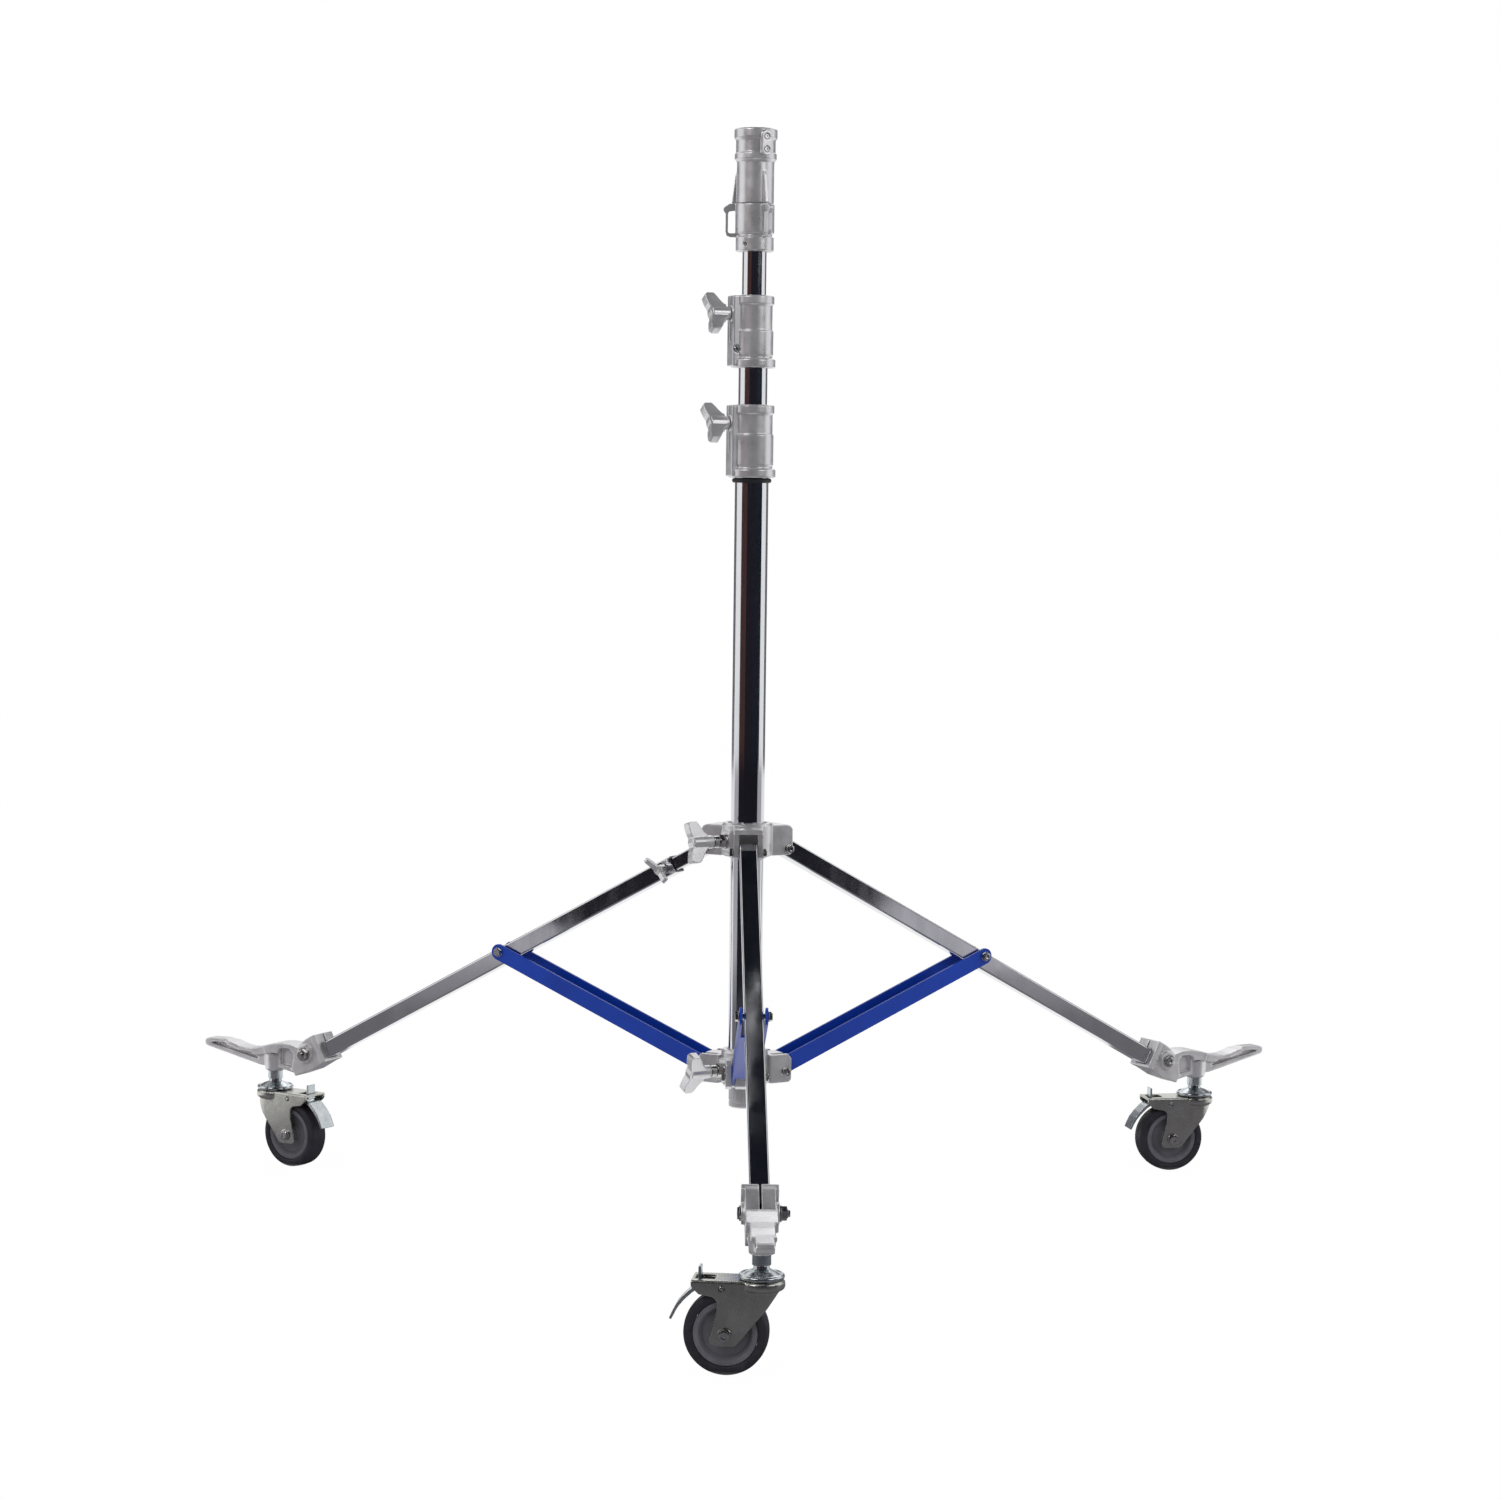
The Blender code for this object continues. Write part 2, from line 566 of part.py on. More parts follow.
def add_spider_boss(spider, height, bore, parent):
    """The threaded lug of a clamping handle, with its screw hole."""
    frame = turn(SPIDER_HANDLE_ANGLE) @ shift(z=height)
    half_width = SPIDER_BOSS_WIDTH / 2
    half_height = SPIDER_BOSS_HEIGHT / 2
    lug = block((bore + 2 * MM, -half_width, -half_height),
                (SPIDER_BOSS_REACH, half_width, half_height))
    bmesh.ops.bevel(lug, geom=lug.edges[:], offset=2 * MM, segments=1, profile=0.5,
                    affect="EDGES", material=-1)
    extend(spider, lug, frame, parent)
    hole = drum(HANDLE_SHANK + CLEARANCE, bore - 3 * MM, SPIDER_BOSS_REACH + 5 * MM, HOLE_ROUND)
    cut(spider, hole, frame @ turn(math.radians(90), "Y"), parent)


def make_lower_spider(root):
    base = Matrix.Identity(4)
    low = LOWER_SPIDER_BOTTOM
    top = LOWER_SPIDER_TOP
    bore = MAST_RADIUS + CLEARANCE
    hub = bore + LOWER_HUB_WALL
    profile = [
        (bore, low), (hub - 2 * MM, low), (hub, low + 3 * MM), (hub, top - 2 * MM),
        (hub - 1.5 * MM, top), (bore + 0.8 * MM, top), (bore, top - 0.8 * MM),
    ]
    spider = add_piece("lower_spider", turned(profile), ALUMINIUM, base, root)
    half = LOWER_ARM_HALF
    for angle in LEG_ANGLES.values():
        arm = block((bore + 2 * MM, -half, LOWER_ARM_BOTTOM), (LOWER_ARM_REACH, half, LOWER_ARM_TOP))
        bmesh.ops.bevel(arm, geom=arm.edges[:], offset=2 * MM, segments=1, profile=0.5,
                        affect="EDGES", material=-1)
        extend(spider, arm, turn(angle), root)
    for side, angle in LEG_ANGLES.items():
        play = OPEN_PLAY if side in OPEN_PIVOTS else 0.5 * MM
        slot_start = hub + 0.4 * MM if side in OPEN_PIVOTS else hub + 3 * MM
        slot_out = BRACE_WIDTH / 2 + play
        slot_in = BRACE_WIDTH / 2 - BRACE_GAUGE - play
        for sign in (-1, 1):
            sides = sorted((sign * slot_in, sign * slot_out))
            channel = block((slot_start, sides[0], LOWER_ARM_BOTTOM - 5 * MM),
                            (LOWER_ARM_REACH + 5 * MM, sides[1], LOWER_ARM_TOP + 9 * MM))
            cut(spider, channel, turn(angle), root)
        hole = cross_drum(PIN_RADIUS + CLEARANCE, half + 5 * MM)
        cut(spider, hole, turn(angle) @ Matrix.Translation(LOWER_PIVOT), root)
    height = (LOWER_ARM_BOTTOM + LOWER_ARM_TOP) / 2
    add_spider_boss(spider, height, bore, root)
    return height


def pin_mesh(half_grip):
    """A pivot bolt along y: head on one side, nut on the other."""
    head = half_grip + SEAT
    bm = turned([
        (0, -head - PIN_HEAD_HEIGHT), (PIN_HEAD_RADIUS - 1 * MM, -head - PIN_HEAD_HEIGHT),
        (PIN_HEAD_RADIUS, -head - PIN_HEAD_HEIGHT + 1 * MM), (PIN_HEAD_RADIUS, -head),
        (PIN_RADIUS, -head), (PIN_RADIUS, head), (PIN_HEAD_RADIUS, head),
        (PIN_HEAD_RADIUS, head + PIN_HEAD_HEIGHT), (0, head + PIN_HEAD_HEIGHT),
    ], PIN_ROUND)
    bmesh.ops.rotate(bm, verts=bm.verts, matrix=Matrix.Rotation(math.radians(90), 3, "X"))
    return bm


def make_pins(name, pivot, half_grip, parent):
    """The three equal bolts of one spider."""
    for side, angle in LEG_ANGLES.items():
        frame = turn(angle) @ Matrix.Translation(pivot)
        add_piece(f"{name}_{side}", pin_mesh(half_grip), STEEL, frame, parent)


def square_tube(start, end, size, wall, round_start):
    """A square tube along x; its start can be rounded off about the origin."""
    half = size / 2
    if round_start:
        points = arc((0, 0), half, 90, 270, 6) + [(end, -half), (end, half)]
    else:
        points = [(start, -half), (end, -half), (end, half), (start, half)]
    inner = half - wall
    cutter = block((start - size, -inner, -inner), (end + size, inner, inner))
    return outline(points, half), cutter


def make_leg(side, parent):
    """Leg tube from its pivot at the upper spider down into the foot."""
    line = turn(LEG_SLOPE, "Y")
    pivot_drop = leg_line(UPPER_PIVOT.x) - UPPER_PIVOT.z
    lift = pivot_drop * math.cos(LEG_SLOPE)
    plane = turn(LEG_ANGLES[side])
    pivot = Matrix.Translation(UPPER_PIVOT)
    frame = plane @ pivot @ line @ shift(z=lift)
    start_reach = UPPER_PIVOT.x + lift * math.sin(LEG_SLOPE)
    length = (LEG_END_REACH - start_reach) / math.cos(LEG_SLOPE)
    half = LEG_SIZE / 2
    middle = plane @ Matrix.Translation(MIDDLE_PIVOT)
    if side == "left":
        start = LEG_SPLIT_REACH
        body, core = square_tube(start, length, LEG_SIZE, LEG_WALL, False)
        make_leg_stub(frame, plane @ pivot, parent)
    else:
        start = 0
        body, core = square_tube(start, length, LEG_SIZE, LEG_WALL, True)
    leg = add_piece(f"leg_{side}", body, CHROME, frame, parent)
    cut(leg, core, frame, parent)
    if side != "left":
        hole = cross_drum(PIN_RADIUS + CLEARANCE, half + 5 * MM)
        cut(leg, hole, plane @ pivot, parent)
    cut(leg, cross_drum(PIN_RADIUS + CLEARANCE, half + 5 * MM), middle, parent)
    add_piece(f"leg_{side}_pin", pin_mesh(BRACE_WIDTH / 2), STEEL, middle, parent)
    if side == "left":
        make_wing_screw(leg, frame, parent)
    make_foot(side, parent)


def make_leg_stub(frame, pivot_frame, parent):
    """The short inner tube that the levelling leg slides on."""
    end = LEG_SPLIT_REACH + STUB_OVERLAP
    body, core = square_tube(0, end, STUB_SIZE, LEG_WALL, True)
    stub = add_piece("leg_left_stub", body, CHROME, frame, parent)
    cut(stub, core, frame, parent)
    cut(stub, cross_drum(PIN_RADIUS + CLEARANCE, STUB_SIZE), pivot_frame, parent)


def make_wing_screw(leg, frame, parent):
    """The wing screw that locks the levelling leg, on the side of the leg."""
    reach = LEG_SPLIT_REACH + 12 * MM
    side = LEG_SIZE / 2
    seat = frame @ shift(x=reach, y=side) @ turn(math.radians(90), "Z")
    hole = drum(HANDLE_SHANK * 0.75 + CLEARANCE, -5 * MM, 5 * MM, HOLE_ROUND)
    cut(leg, hole, seat @ turn(math.radians(90), "Y"), parent)
    joint = add_empty("wing_screw_joint", seat, parent)
    wing = [
        (9 * MM, 4 * MM), (11 * MM, 11 * MM), (14 * MM, 16 * MM), (18 * MM, 17 * MM),
        (19 * MM, 14 * MM), (15.5 * MM, 5 * MM), (15 * MM, 0),
    ]
    points = wing + [(x, -z) for x, z in reversed(wing[:-1])]
    rolled = seat @ turn(math.radians(20), "X")
    screw = add_piece("wing_screw", outline(points, 2.6 * MM), ALUMINIUM, rolled, joint)
    bevel(screw, 0.8 * MM, 1)
    sideways = rolled @ turn(math.radians(90), "Y")
    stop = STUB_SIZE / 2 + SEAT - side
    extend(screw, drum(HANDLE_SHANK * 0.75, stop, 12 * MM, HOLE_ROUND), sideways, joint)
    extend(screw, drum(5.5 * MM, 2 * MM, 13 * MM, HOLE_ROUND), sideways, joint)


def make_brace(side, parent):
    """Channel brace from the lower spider to the leg."""
    plane = turn(LEG_ANGLES[side])
    direction = turn(-BRACE_SLOPE, "Y")
    frame = plane @ Matrix.Translation(BRACE_LINE_START) @ direction
    inverse = (Matrix.Translation(BRACE_LINE_START) @ direction).inverted()
    low_end = inverse @ LOWER_PIVOT
    high_end = inverse @ MIDDLE_PIVOT
    half = BRACE_HEIGHT / 2
    width = BRACE_WIDTH / 2
    inner = width - BRACE_GAUGE
    is_open = side in OPEN_PIVOTS
    low_radius = OPEN_EYE_RADIUS if is_open else half - abs(low_end.z) + 3 * MM
    low_hole = OPEN_HOLE_RADIUS if is_open else PIN_RADIUS + CLEARANCE
    profile = [(low_end.x + half, half)]
    profile += arc((low_end.x, low_end.z), low_radius, 120, 240, 4)
    profile += [(low_end.x + half, -half)]
    profile += arc((high_end.x, high_end.z), half - abs(high_end.z), -90, 90, 6)
    brace = add_piece(f"brace_{side}", outline(profile, width), BLUE_PAINT, frame, parent)
    trough = block((low_end.x - 3 * half, -inner, -half + BRACE_GAUGE),
                   (high_end.x + 3 * half, inner, half + 5 * MM))
    cut(brace, trough, frame, parent)
    near = block((low_end.x - 3 * half, -inner, -half - 5 * MM),
                 (low_end.x + BRACE_WEB_INSET, inner, half))
    cut(brace, near, frame, parent)
    far = block((high_end.x - BRACE_WEB_CUTBACK, -inner, -half - 5 * MM),
                (high_end.x + 3 * half, inner, half))
    cut(brace, far, frame, parent)
    for pivot, radius in ((LOWER_PIVOT, low_hole), (MIDDLE_PIVOT, PIN_RADIUS + CLEARANCE)):
        hole = cross_drum(radius, BRACE_WIDTH)
        cut(brace, hole, plane @ Matrix.Translation(pivot), parent)


def foot_points(offsets):
    """Points of a foot's outline, given in mm from the middle of the boss's lower face."""
    return [(CASTER_REACH + reach * MM, BOSS_BOTTOM + rise * MM) for reach, rise in offsets]


def make_foot(side, parent):
    """Cast foot: a split clamp on the leg's end, a boss for the caster and a foot lever."""
    plane = turn(LEG_ANGLES[side])
    across = Vector((math.sin(LEG_SLOPE), 0, math.cos(LEG_SLOPE)))
    mouth = Vector((FOOT_MOUTH_REACH, 0, leg_line(FOOT_MOUTH_REACH)))
    mouth_top = mouth + across * 20 * MM
    mouth_low = mouth - across * 12.5 * MM
    tip = (TIP_REACH - CASTER_REACH) / MM
    body = foot_points([
        (-48, 5), (-35, -1), (-14, 3), (16, 5), (tip - 4, 20), (tip, 23), (tip, 27),
        (tip - 4, 29.5), (tip - 28, 30), (44, 23.5), (27, 22.5), (5, 28.5), (-18, 33),
        (-38, 30), (-45, 25),
    ])
    foot = add_piece(f"foot_{side}", outline(body, FOOT_WIDTH / 2), ALUMINIUM, plane, parent)
    clamp = [(mouth_low.x, mouth_low.z)]
    clamp += foot_points([(-58, 5), (-37.5, -2.5), (-32, 5), (-36, 26), (-50, 40)])
    clamp += [(mouth_top.x + 8 * MM, mouth_top.z - 3 * MM), (mouth_top.x, mouth_top.z)]
    extend(foot, outline(clamp, CLAMP_WIDTH / 2), plane, parent)
    boss_top = STEM_TOP + 2 * MM
    boss = turned([
        (0, BOSS_BOTTOM), (BOSS_RADIUS - 1 * MM, BOSS_BOTTOM), (BOSS_RADIUS, BOSS_BOTTOM + 1 * MM),
        (BOSS_RADIUS + 1 * MM, boss_top), (0, boss_top),
    ], GUIDE_ROUND)
    extend(foot, boss, plane @ shift(x=CASTER_REACH), parent)
    leg_frame = plane @ shift(x=mouth.x, z=mouth.z) @ turn(LEG_SLOPE, "Y")
    socket = LEG_SIZE / 2 + CLEARANCE
    depth = (LEG_END_REACH - FOOT_MOUTH_REACH) / math.cos(LEG_SLOPE) + SEAT
    cut(foot, block((-10 * MM, -socket, -socket), (depth, socket, socket)), leg_frame, parent)
    slit = block((-10 * MM, -1 * MM, 0), (FOOT_SLIT, 1 * MM, 40 * MM))
    cut(foot, slit, leg_frame, parent)
    cut(foot, drum(STEM_RADIUS + CLEARANCE, BOSS_BOTTOM - 5 * MM, STEM_TOP + 1 * MM, HOLE_ROUND),
        plane @ shift(x=CASTER_REACH), parent)
    recess = foot_points([
        (17, 11), (tip - 9, 23.5), (tip - 9, 25), (tip - 27, 26), (45, 19.5), (26, 18.5),
    ])
    for sign in (-1, 1):
        pocket = outline(recess, 5 * MM)
        offset = FOOT_WEB / 2 + 5 * MM
        cut(foot, pocket, plane @ shift(y=sign * offset), parent)
    add_foot_bolt(side, foot, plane, parent)


def add_foot_bolt(side, foot, plane, parent):
    """The bolt that pinches the clamp on the leg, behind the leg's end."""
    frame = plane @ Matrix.Translation(FOOT_BOLT)
    cut(foot, cross_drum(PIN_RADIUS + CLEARANCE, CLAMP_WIDTH), frame, parent)
    add_piece(f"foot_{side}_bolt", pin_mesh(CLAMP_WIDTH / 2), STEEL, frame, parent)


def fork_outline():
    """Side view of the fork's cheek, with x toward the trailing wheel."""
    bottom = WHEEL_RADIUS - 10 * MM
    points = [(-FORK_HEAD_RADIUS + 3 * MM, FORK_TOP), (-FORK_HEAD_RADIUS + 3 * MM, FORK_TOP - 7 * MM)]
    points += [(-6.5 * MM, 61 * MM)]
    points += arc((CASTER_TRAIL - 7 * MM, bottom + 5 * MM), 5 * MM, 220, 270, 2)
    points += arc((CASTER_TRAIL + 8.5 * MM, bottom + 5 * MM), 5 * MM, 270, 350, 2)
    points += [(CASTER_TRAIL + 10 * MM, 45 * MM), (CASTER_TRAIL + 7 * MM, 57 * MM)]
    points += arc((CASTER_TRAIL + 14 * MM, 64 * MM), 7 * MM, 175, 110, 2)
    points += [(FORK_TAIL - 7 * MM, FORK_TOP - 12.4 * MM), (FORK_TAIL, FORK_TOP - 6.5 * MM),
               (FORK_TAIL, FORK_TOP)]
    return points


def make_caster(side, parent):
    """One swivel caster: stem and cap, fork, axle, hub, tyre and brake pedal."""
    place = turn(LEG_ANGLES[side]) @ shift(x=CASTER_REACH)
    stem_frame = Matrix.Translation(place.to_translation()) @ turn(SWIVEL_ANGLES[side])
    cap_low = FORK_TOP + SEAT
    stem = [
        (0, cap_low), (CAP_RADIUS - 2 * MM, cap_low), (CAP_RADIUS, cap_low + 1.5 * MM),
        (CAP_RADIUS, cap_low + 4 * MM), (CAP_RADIUS - 3 * MM, cap_low + 6.5 * MM),
        (STEM_COLLAR_RADIUS + 1 * MM, cap_low + 9 * MM), (STEM_COLLAR_RADIUS, cap_low + 10 * MM),
        (STEM_COLLAR_RADIUS, BOSS_BOTTOM - SEAT), (STEM_RADIUS, BOSS_BOTTOM - SEAT),
        (STEM_RADIUS, STEM_TOP), (0, STEM_TOP),
    ]
    add_piece(f"caster_{side}_stem", turned(stem, CASTER_ROUND), ZINC, stem_frame, parent)
    swivel = add_empty(f"caster_{side}_swivel", stem_frame, parent)
    make_fork(side, stem_frame, swivel)
    axle_frame = stem_frame @ shift(x=CASTER_TRAIL, z=WHEEL_RADIUS)
    make_wheel(side, axle_frame, swivel)
    make_pedal(side, stem_frame, swivel)


def make_fork(side, frame, parent):
    half = FORK_GAP / 2 + FORK_GAUGE
    fork = add_piece(f"caster_{side}_fork", outline(fork_outline(), half), ZINC, frame, parent)
    head = turned([
        (0, FORK_TOP - 9 * MM), (FORK_HEAD_RADIUS - 1.5 * MM, FORK_TOP - 9 * MM),
        (FORK_HEAD_RADIUS, FORK_TOP - 7 * MM), (FORK_HEAD_RADIUS, FORK_TOP - 1.5 * MM),
        (FORK_HEAD_RADIUS - 1.5 * MM, FORK_TOP), (0, FORK_TOP),
    ], CASTER_ROUND)
    extend(fork, head, frame, parent)
    inside = FORK_GAP / 2
    roof = FORK_TOP - FORK_GAUGE
    cut(fork, block((-FORK_HEAD_RADIUS + 7 * MM, -inside, 0), (FORK_TAIL + 5 * MM, inside, roof)),
        frame, parent)
    window = block((FORK_TAIL - 20 * MM, -8 * MM, roof - 5 * MM),
                   (FORK_TAIL - 3.2 * MM, 8 * MM, FORK_TOP + 5 * MM))
    cut(fork, window, frame, parent)
    axle = cross_drum(AXLE_RADIUS + CLEARANCE, half + 5 * MM)
    cut(fork, axle, frame @ shift(x=CASTER_TRAIL, z=WHEEL_RADIUS), parent)
    pivot = cross_drum(2.2 * MM + CLEARANCE, half + 5 * MM, PIN_ROUND)
    cut(fork, pivot, frame @ shift(x=PEDAL_PIVOT_REACH, z=PEDAL_PIVOT_HEIGHT), parent)


def make_wheel(side, frame, parent):
    """Tyre and hub turn on the axle; the axle is a bolt held by the fork."""
    joint = add_empty(f"caster_{side}_wheel", frame, parent)
    across = turn(math.radians(90), "X")
    half = WHEEL_WIDTH / 2
    rim = WHEEL_RADIUS - TYRE_DEPTH
    tyre = [
        (rim, -half + 1 * MM), (rim + 2 * MM, -half), (WHEEL_RADIUS - 3.5 * MM, -half + 1 * MM),
        (WHEEL_RADIUS, -3 * MM), (WHEEL_RADIUS, 3 * MM), (WHEEL_RADIUS - 3.5 * MM, half - 1 * MM),
        (rim + 2 * MM, half), (rim, half - 1 * MM),
    ]
    add_piece(f"caster_{side}_tyre", turned(tyre, WHEEL_ROUND), TYRE_RUBBER, frame @ across, joint)
    bore = AXLE_RADIUS + CLEARANCE
    boss = FORK_GAP / 2 - SEAT
    hub = [
        (bore, -boss), (9 * MM, -boss), (10 * MM, -5 * MM), (22 * MM, -5 * MM),
        (rim - SEAT, -half + 2 * MM), (rim - SEAT, half - 2 * MM),
        (22 * MM, 5 * MM), (10 * MM, 5 * MM), (9 * MM, boss), (bore, boss),
    ]
    add_piece(f"caster_{side}_hub", turned(hub, CASTER_ROUND), HUB_PLASTIC, frame @ across, joint)
    head = FORK_GAP / 2 + FORK_GAUGE + SEAT
    axle = turned([
        (0, -head - 4 * MM), (5.5 * MM, -head - 4 * MM), (6.5 * MM, -head - 3 * MM),
        (6.5 * MM, -head), (AXLE_RADIUS, -head), (AXLE_RADIUS, head), (6.5 * MM, head),
        (6.5 * MM, head + 5 * MM), (0, head + 5 * MM),
    ], PIN_ROUND)
    add_piece(f"caster_{side}_axle", axle, STEEL, frame @ across, parent)


def make_pedal(side, frame, parent):
    """Brake pedal on a rivet through both cheeks, with a release tab through the window."""
    pivot = frame @ shift(x=PEDAL_PIVOT_REACH, z=PEDAL_PIVOT_HEIGHT)
    joint = add_empty(f"caster_{side}_pedal_joint", pivot, parent)
    lever = [
        (-4 * MM, -3 * MM), (22 * MM, -3 * MM), (26 * MM, -5.5 * MM), (38 * MM, -18 * MM),
        (44.5 * MM, -30 * MM), (46.5 * MM, -29 * MM), (40.5 * MM, -16.5 * MM),
        (28.5 * MM, -3.5 * MM), (25 * MM, -0.8 * MM), (22 * MM, 0.8 * MM),
        (21.5 * MM, 16.5 * MM), (19 * MM, 16.5 * MM), (18.5 * MM, 1.2 * MM), (4 * MM, 3 * MM),
        (-4 * MM, 3 * MM),
    ]
    half = PEDAL_WIDTH / 2
    pedal = add_piece(f"caster_{side}_pedal", outline(lever, half), ZINC, pivot, joint)
    for sign in (-1, 1):
        waist = block((12 * MM, min(sign * 6 * MM, sign * 20 * MM), 1.1 * MM),
                      (28 * MM, max(sign * 6 * MM, sign * 20 * MM), 20 * MM))
        cut(pedal, waist, pivot, joint)
    rivet_half = FORK_GAP / 2 + FORK_GAUGE + 1 * MM
    extend(pedal, cross_drum(2.2 * MM, rivet_half, PIN_ROUND), pivot, joint)


def make_base(root):
    """The folding base. The front brace carries the front leg, which carries the spider."""
    frames = {side: turn(angle) for side, angle in LEG_ANGLES.items()}
    brace_hinge = add_empty("brace_front_hinge",
                            frames["front"] @ Matrix.Translation(LOWER_PIVOT), root)
    make_brace("front", brace_hinge)
    leg_hinge = add_empty("leg_front_hinge",
                          frames["front"] @ Matrix.Translation(MIDDLE_PIVOT), brace_hinge)
    make_leg("front", leg_hinge)
    make_caster("front", leg_hinge)
    spider_hinge = add_empty("upper_spider_hinge",
                             frames["front"] @ Matrix.Translation(UPPER_PIVOT), leg_hinge)
    height = make_upper_spider(spider_hinge)
    make_pins("upper_pivot_pin", UPPER_PIVOT, UPPER_ARM_WIDTH / 2, spider_hinge)
    shank = MAST_RADIUS + UPPER_SPIDER_PLAY
    make_handle("upper_spider_handle", SPIDER_BOSS_REACH, SPIDER_HANDLE_STANDOFF, height,
                SPIDER_HANDLE_ANGLE, shank, math.radians(14), spider_hinge)
    for side in ("right", "left"):
        hinge = add_empty(f"leg_{side}_hinge",
                          frames[side] @ Matrix.Translation(UPPER_PIVOT), spider_hinge)
        make_leg(side, hinge)
        make_caster(side, hinge)
        far_hinge = add_empty(f"brace_{side}_hinge",
                              frames[side] @ Matrix.Translation(MIDDLE_PIVOT), hinge)
        make_brace(side, far_hinge)


def stand_on_origin(root):
    """Move the whole stand so that its box is centred over the origin, wheels on the ground."""
    bpy.context.view_layer.update()
    depsgraph = bpy.context.evaluated_depsgraph_get()
    low = Vector((math.inf,) * 3)
    high = Vector((-math.inf,) * 3)
    for obj in bpy.data.objects:
        if obj.type != "MESH" or obj.hide_render:
            continue
        evaluated = obj.evaluated_get(depsgraph)
        mesh = evaluated.to_mesh()
        for vert in mesh.vertices:
            point = evaluated.matrix_world @ vert.co
            low = Vector(map(min, low, point))
            high = Vector(map(max, high, point))
        evaluated.to_mesh_clear()
    root.location -= Vector(((low.x + high.x) / 2, (low.y + high.y) / 2, low.z))
    bpy.context.view_layer.update()
    size = (high - low) / MM
    print(f"box {size.x:.1f} x {size.y:.1f} x {size.z:.1f} mm")


def print_joints():
    """Where each joint is, in metres, for the stand's record."""
    for obj in bpy.data.objects:
        if obj.type == "EMPTY":
            place = obj.matrix_world.translation
            print(f"{obj.name}: {place.x:.6f} {place.y:.6f} {place.z:.6f}")


def main():
    clear_scene()
    root = add_empty("stand", Matrix.Identity(4), None)
    make_mast(root)
    height = make_lower_spider(root)
    make_pins("lower_pivot_pin", LOWER_PIVOT, LOWER_ARM_HALF, root)
    make_handle("lower_spider_handle", SPIDER_BOSS_REACH, SPIDER_HANDLE_STANDOFF, height,
                SPIDER_HANDLE_ANGLE, MAST_RADIUS + SEAT, math.radians(-24), root)
    make_handle("mast_collar_handle", COLLAR_BOSS_REACH, COLLAR_HANDLE_STANDOFF,
                MAST_COLLAR_TOP - COLLAR_HANDLE_DROP, COLLAR_HANDLE_ANGLE,
                RISER_1_RADIUS + SEAT, math.radians(35), root)
    first, second = make_risers(root)
    make_handle("riser_collar_handle", COLLAR_BOSS_REACH, COLLAR_HANDLE_STANDOFF,
                RISER_COLLAR_TOP - COLLAR_HANDLE_DROP, COLLAR_HANDLE_ANGLE,
                RISER_2_RADIUS + SEAT, math.radians(30), first)
    make_receiver(second)
    make_base(root)
    stand_on_origin(root)
    print_joints()


main()
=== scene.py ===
# %% [markdown]
# # A rolling light stand in chrome, cast aluminium and blue paint
# The stand has three telescoping tubes, a folding base with three square legs, blue channel
# braces, cast feet and braked casters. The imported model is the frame: it says where each
# piece is and which body it moves with. Each step here makes one family of pieces finer.

# %% Load the frame
import math

import bmesh
import bpy
from mathutils import Matrix, Vector


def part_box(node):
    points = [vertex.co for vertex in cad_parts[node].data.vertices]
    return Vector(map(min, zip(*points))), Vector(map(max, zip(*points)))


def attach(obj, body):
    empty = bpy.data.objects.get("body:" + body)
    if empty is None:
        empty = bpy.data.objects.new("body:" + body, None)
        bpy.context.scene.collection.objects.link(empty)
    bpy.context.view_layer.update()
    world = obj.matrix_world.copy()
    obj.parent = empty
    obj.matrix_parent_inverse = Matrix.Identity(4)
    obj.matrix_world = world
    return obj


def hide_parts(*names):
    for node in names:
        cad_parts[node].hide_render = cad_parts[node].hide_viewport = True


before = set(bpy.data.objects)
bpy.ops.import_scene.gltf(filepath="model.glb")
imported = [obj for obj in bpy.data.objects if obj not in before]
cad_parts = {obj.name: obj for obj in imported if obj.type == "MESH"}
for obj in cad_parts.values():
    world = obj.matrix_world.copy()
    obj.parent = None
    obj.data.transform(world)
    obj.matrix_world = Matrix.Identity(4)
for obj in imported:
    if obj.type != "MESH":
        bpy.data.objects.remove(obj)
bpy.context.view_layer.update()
MM = 0.001

# %% [markdown]
# The mast stands a little behind the middle of the stand's box, because the front leg is
# nearer the front than the two side legs are to the back. Everything on the mast is turned
# about this axis, and each leg is drawn once in a side plane and turned to its place.

# %% Where the mast and the legs are
mast_low, mast_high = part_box("mast_tube")
AXIS = Vector(((mast_low.x + mast_high.x) / 2, (mast_low.y + mast_high.y) / 2, 0))
SIDES = {"front": math.radians(-90), "right": math.radians(30), "left": math.radians(150)}
SWIVELS = {"front": math.radians(172), "right": math.radians(190), "left": math.radians(-36)}


def turn(angle, axis="Z"):
    return Matrix.Rotation(angle, 4, axis)


def shift(x=0.0, y=0.0, z=0.0):
    return Matrix.Translation((x, y, z))


def around_mast(angle=0.0):
    return Matrix.Translation(AXIS) @ turn(angle)


print("mast axis:", tuple(round(value, 4) for value in AXIS))

# %% [markdown]
# Colours are picked in sRGB, as a paint chart gives them, and one function turns them into
# the linear values that the shader needs. One more function adds a node with its settings.

# %% Colour and node helpers


def colour(code):
    channels = [int(code[start:start + 2], 16) / 255 for start in (1, 3, 5)]
    linear = [value / 12.92 if value <= 0.04045 else ((value + 0.055) / 1.055) ** 2.4
              for value in channels]
    return (*linear, 1.0)


def add_node(tree, kind, inputs=None, **settings):
    node = tree.nodes.new("ShaderNode" + kind)
    for name, value in settings.items():
        setattr(node, name, value)
    for socket, value in (inputs or {}).items():
        if isinstance(value, bpy.types.NodeSocket):
            tree.links.new(value, node.inputs[socket])
        else:
            node.inputs[socket].default_value = value
    return node


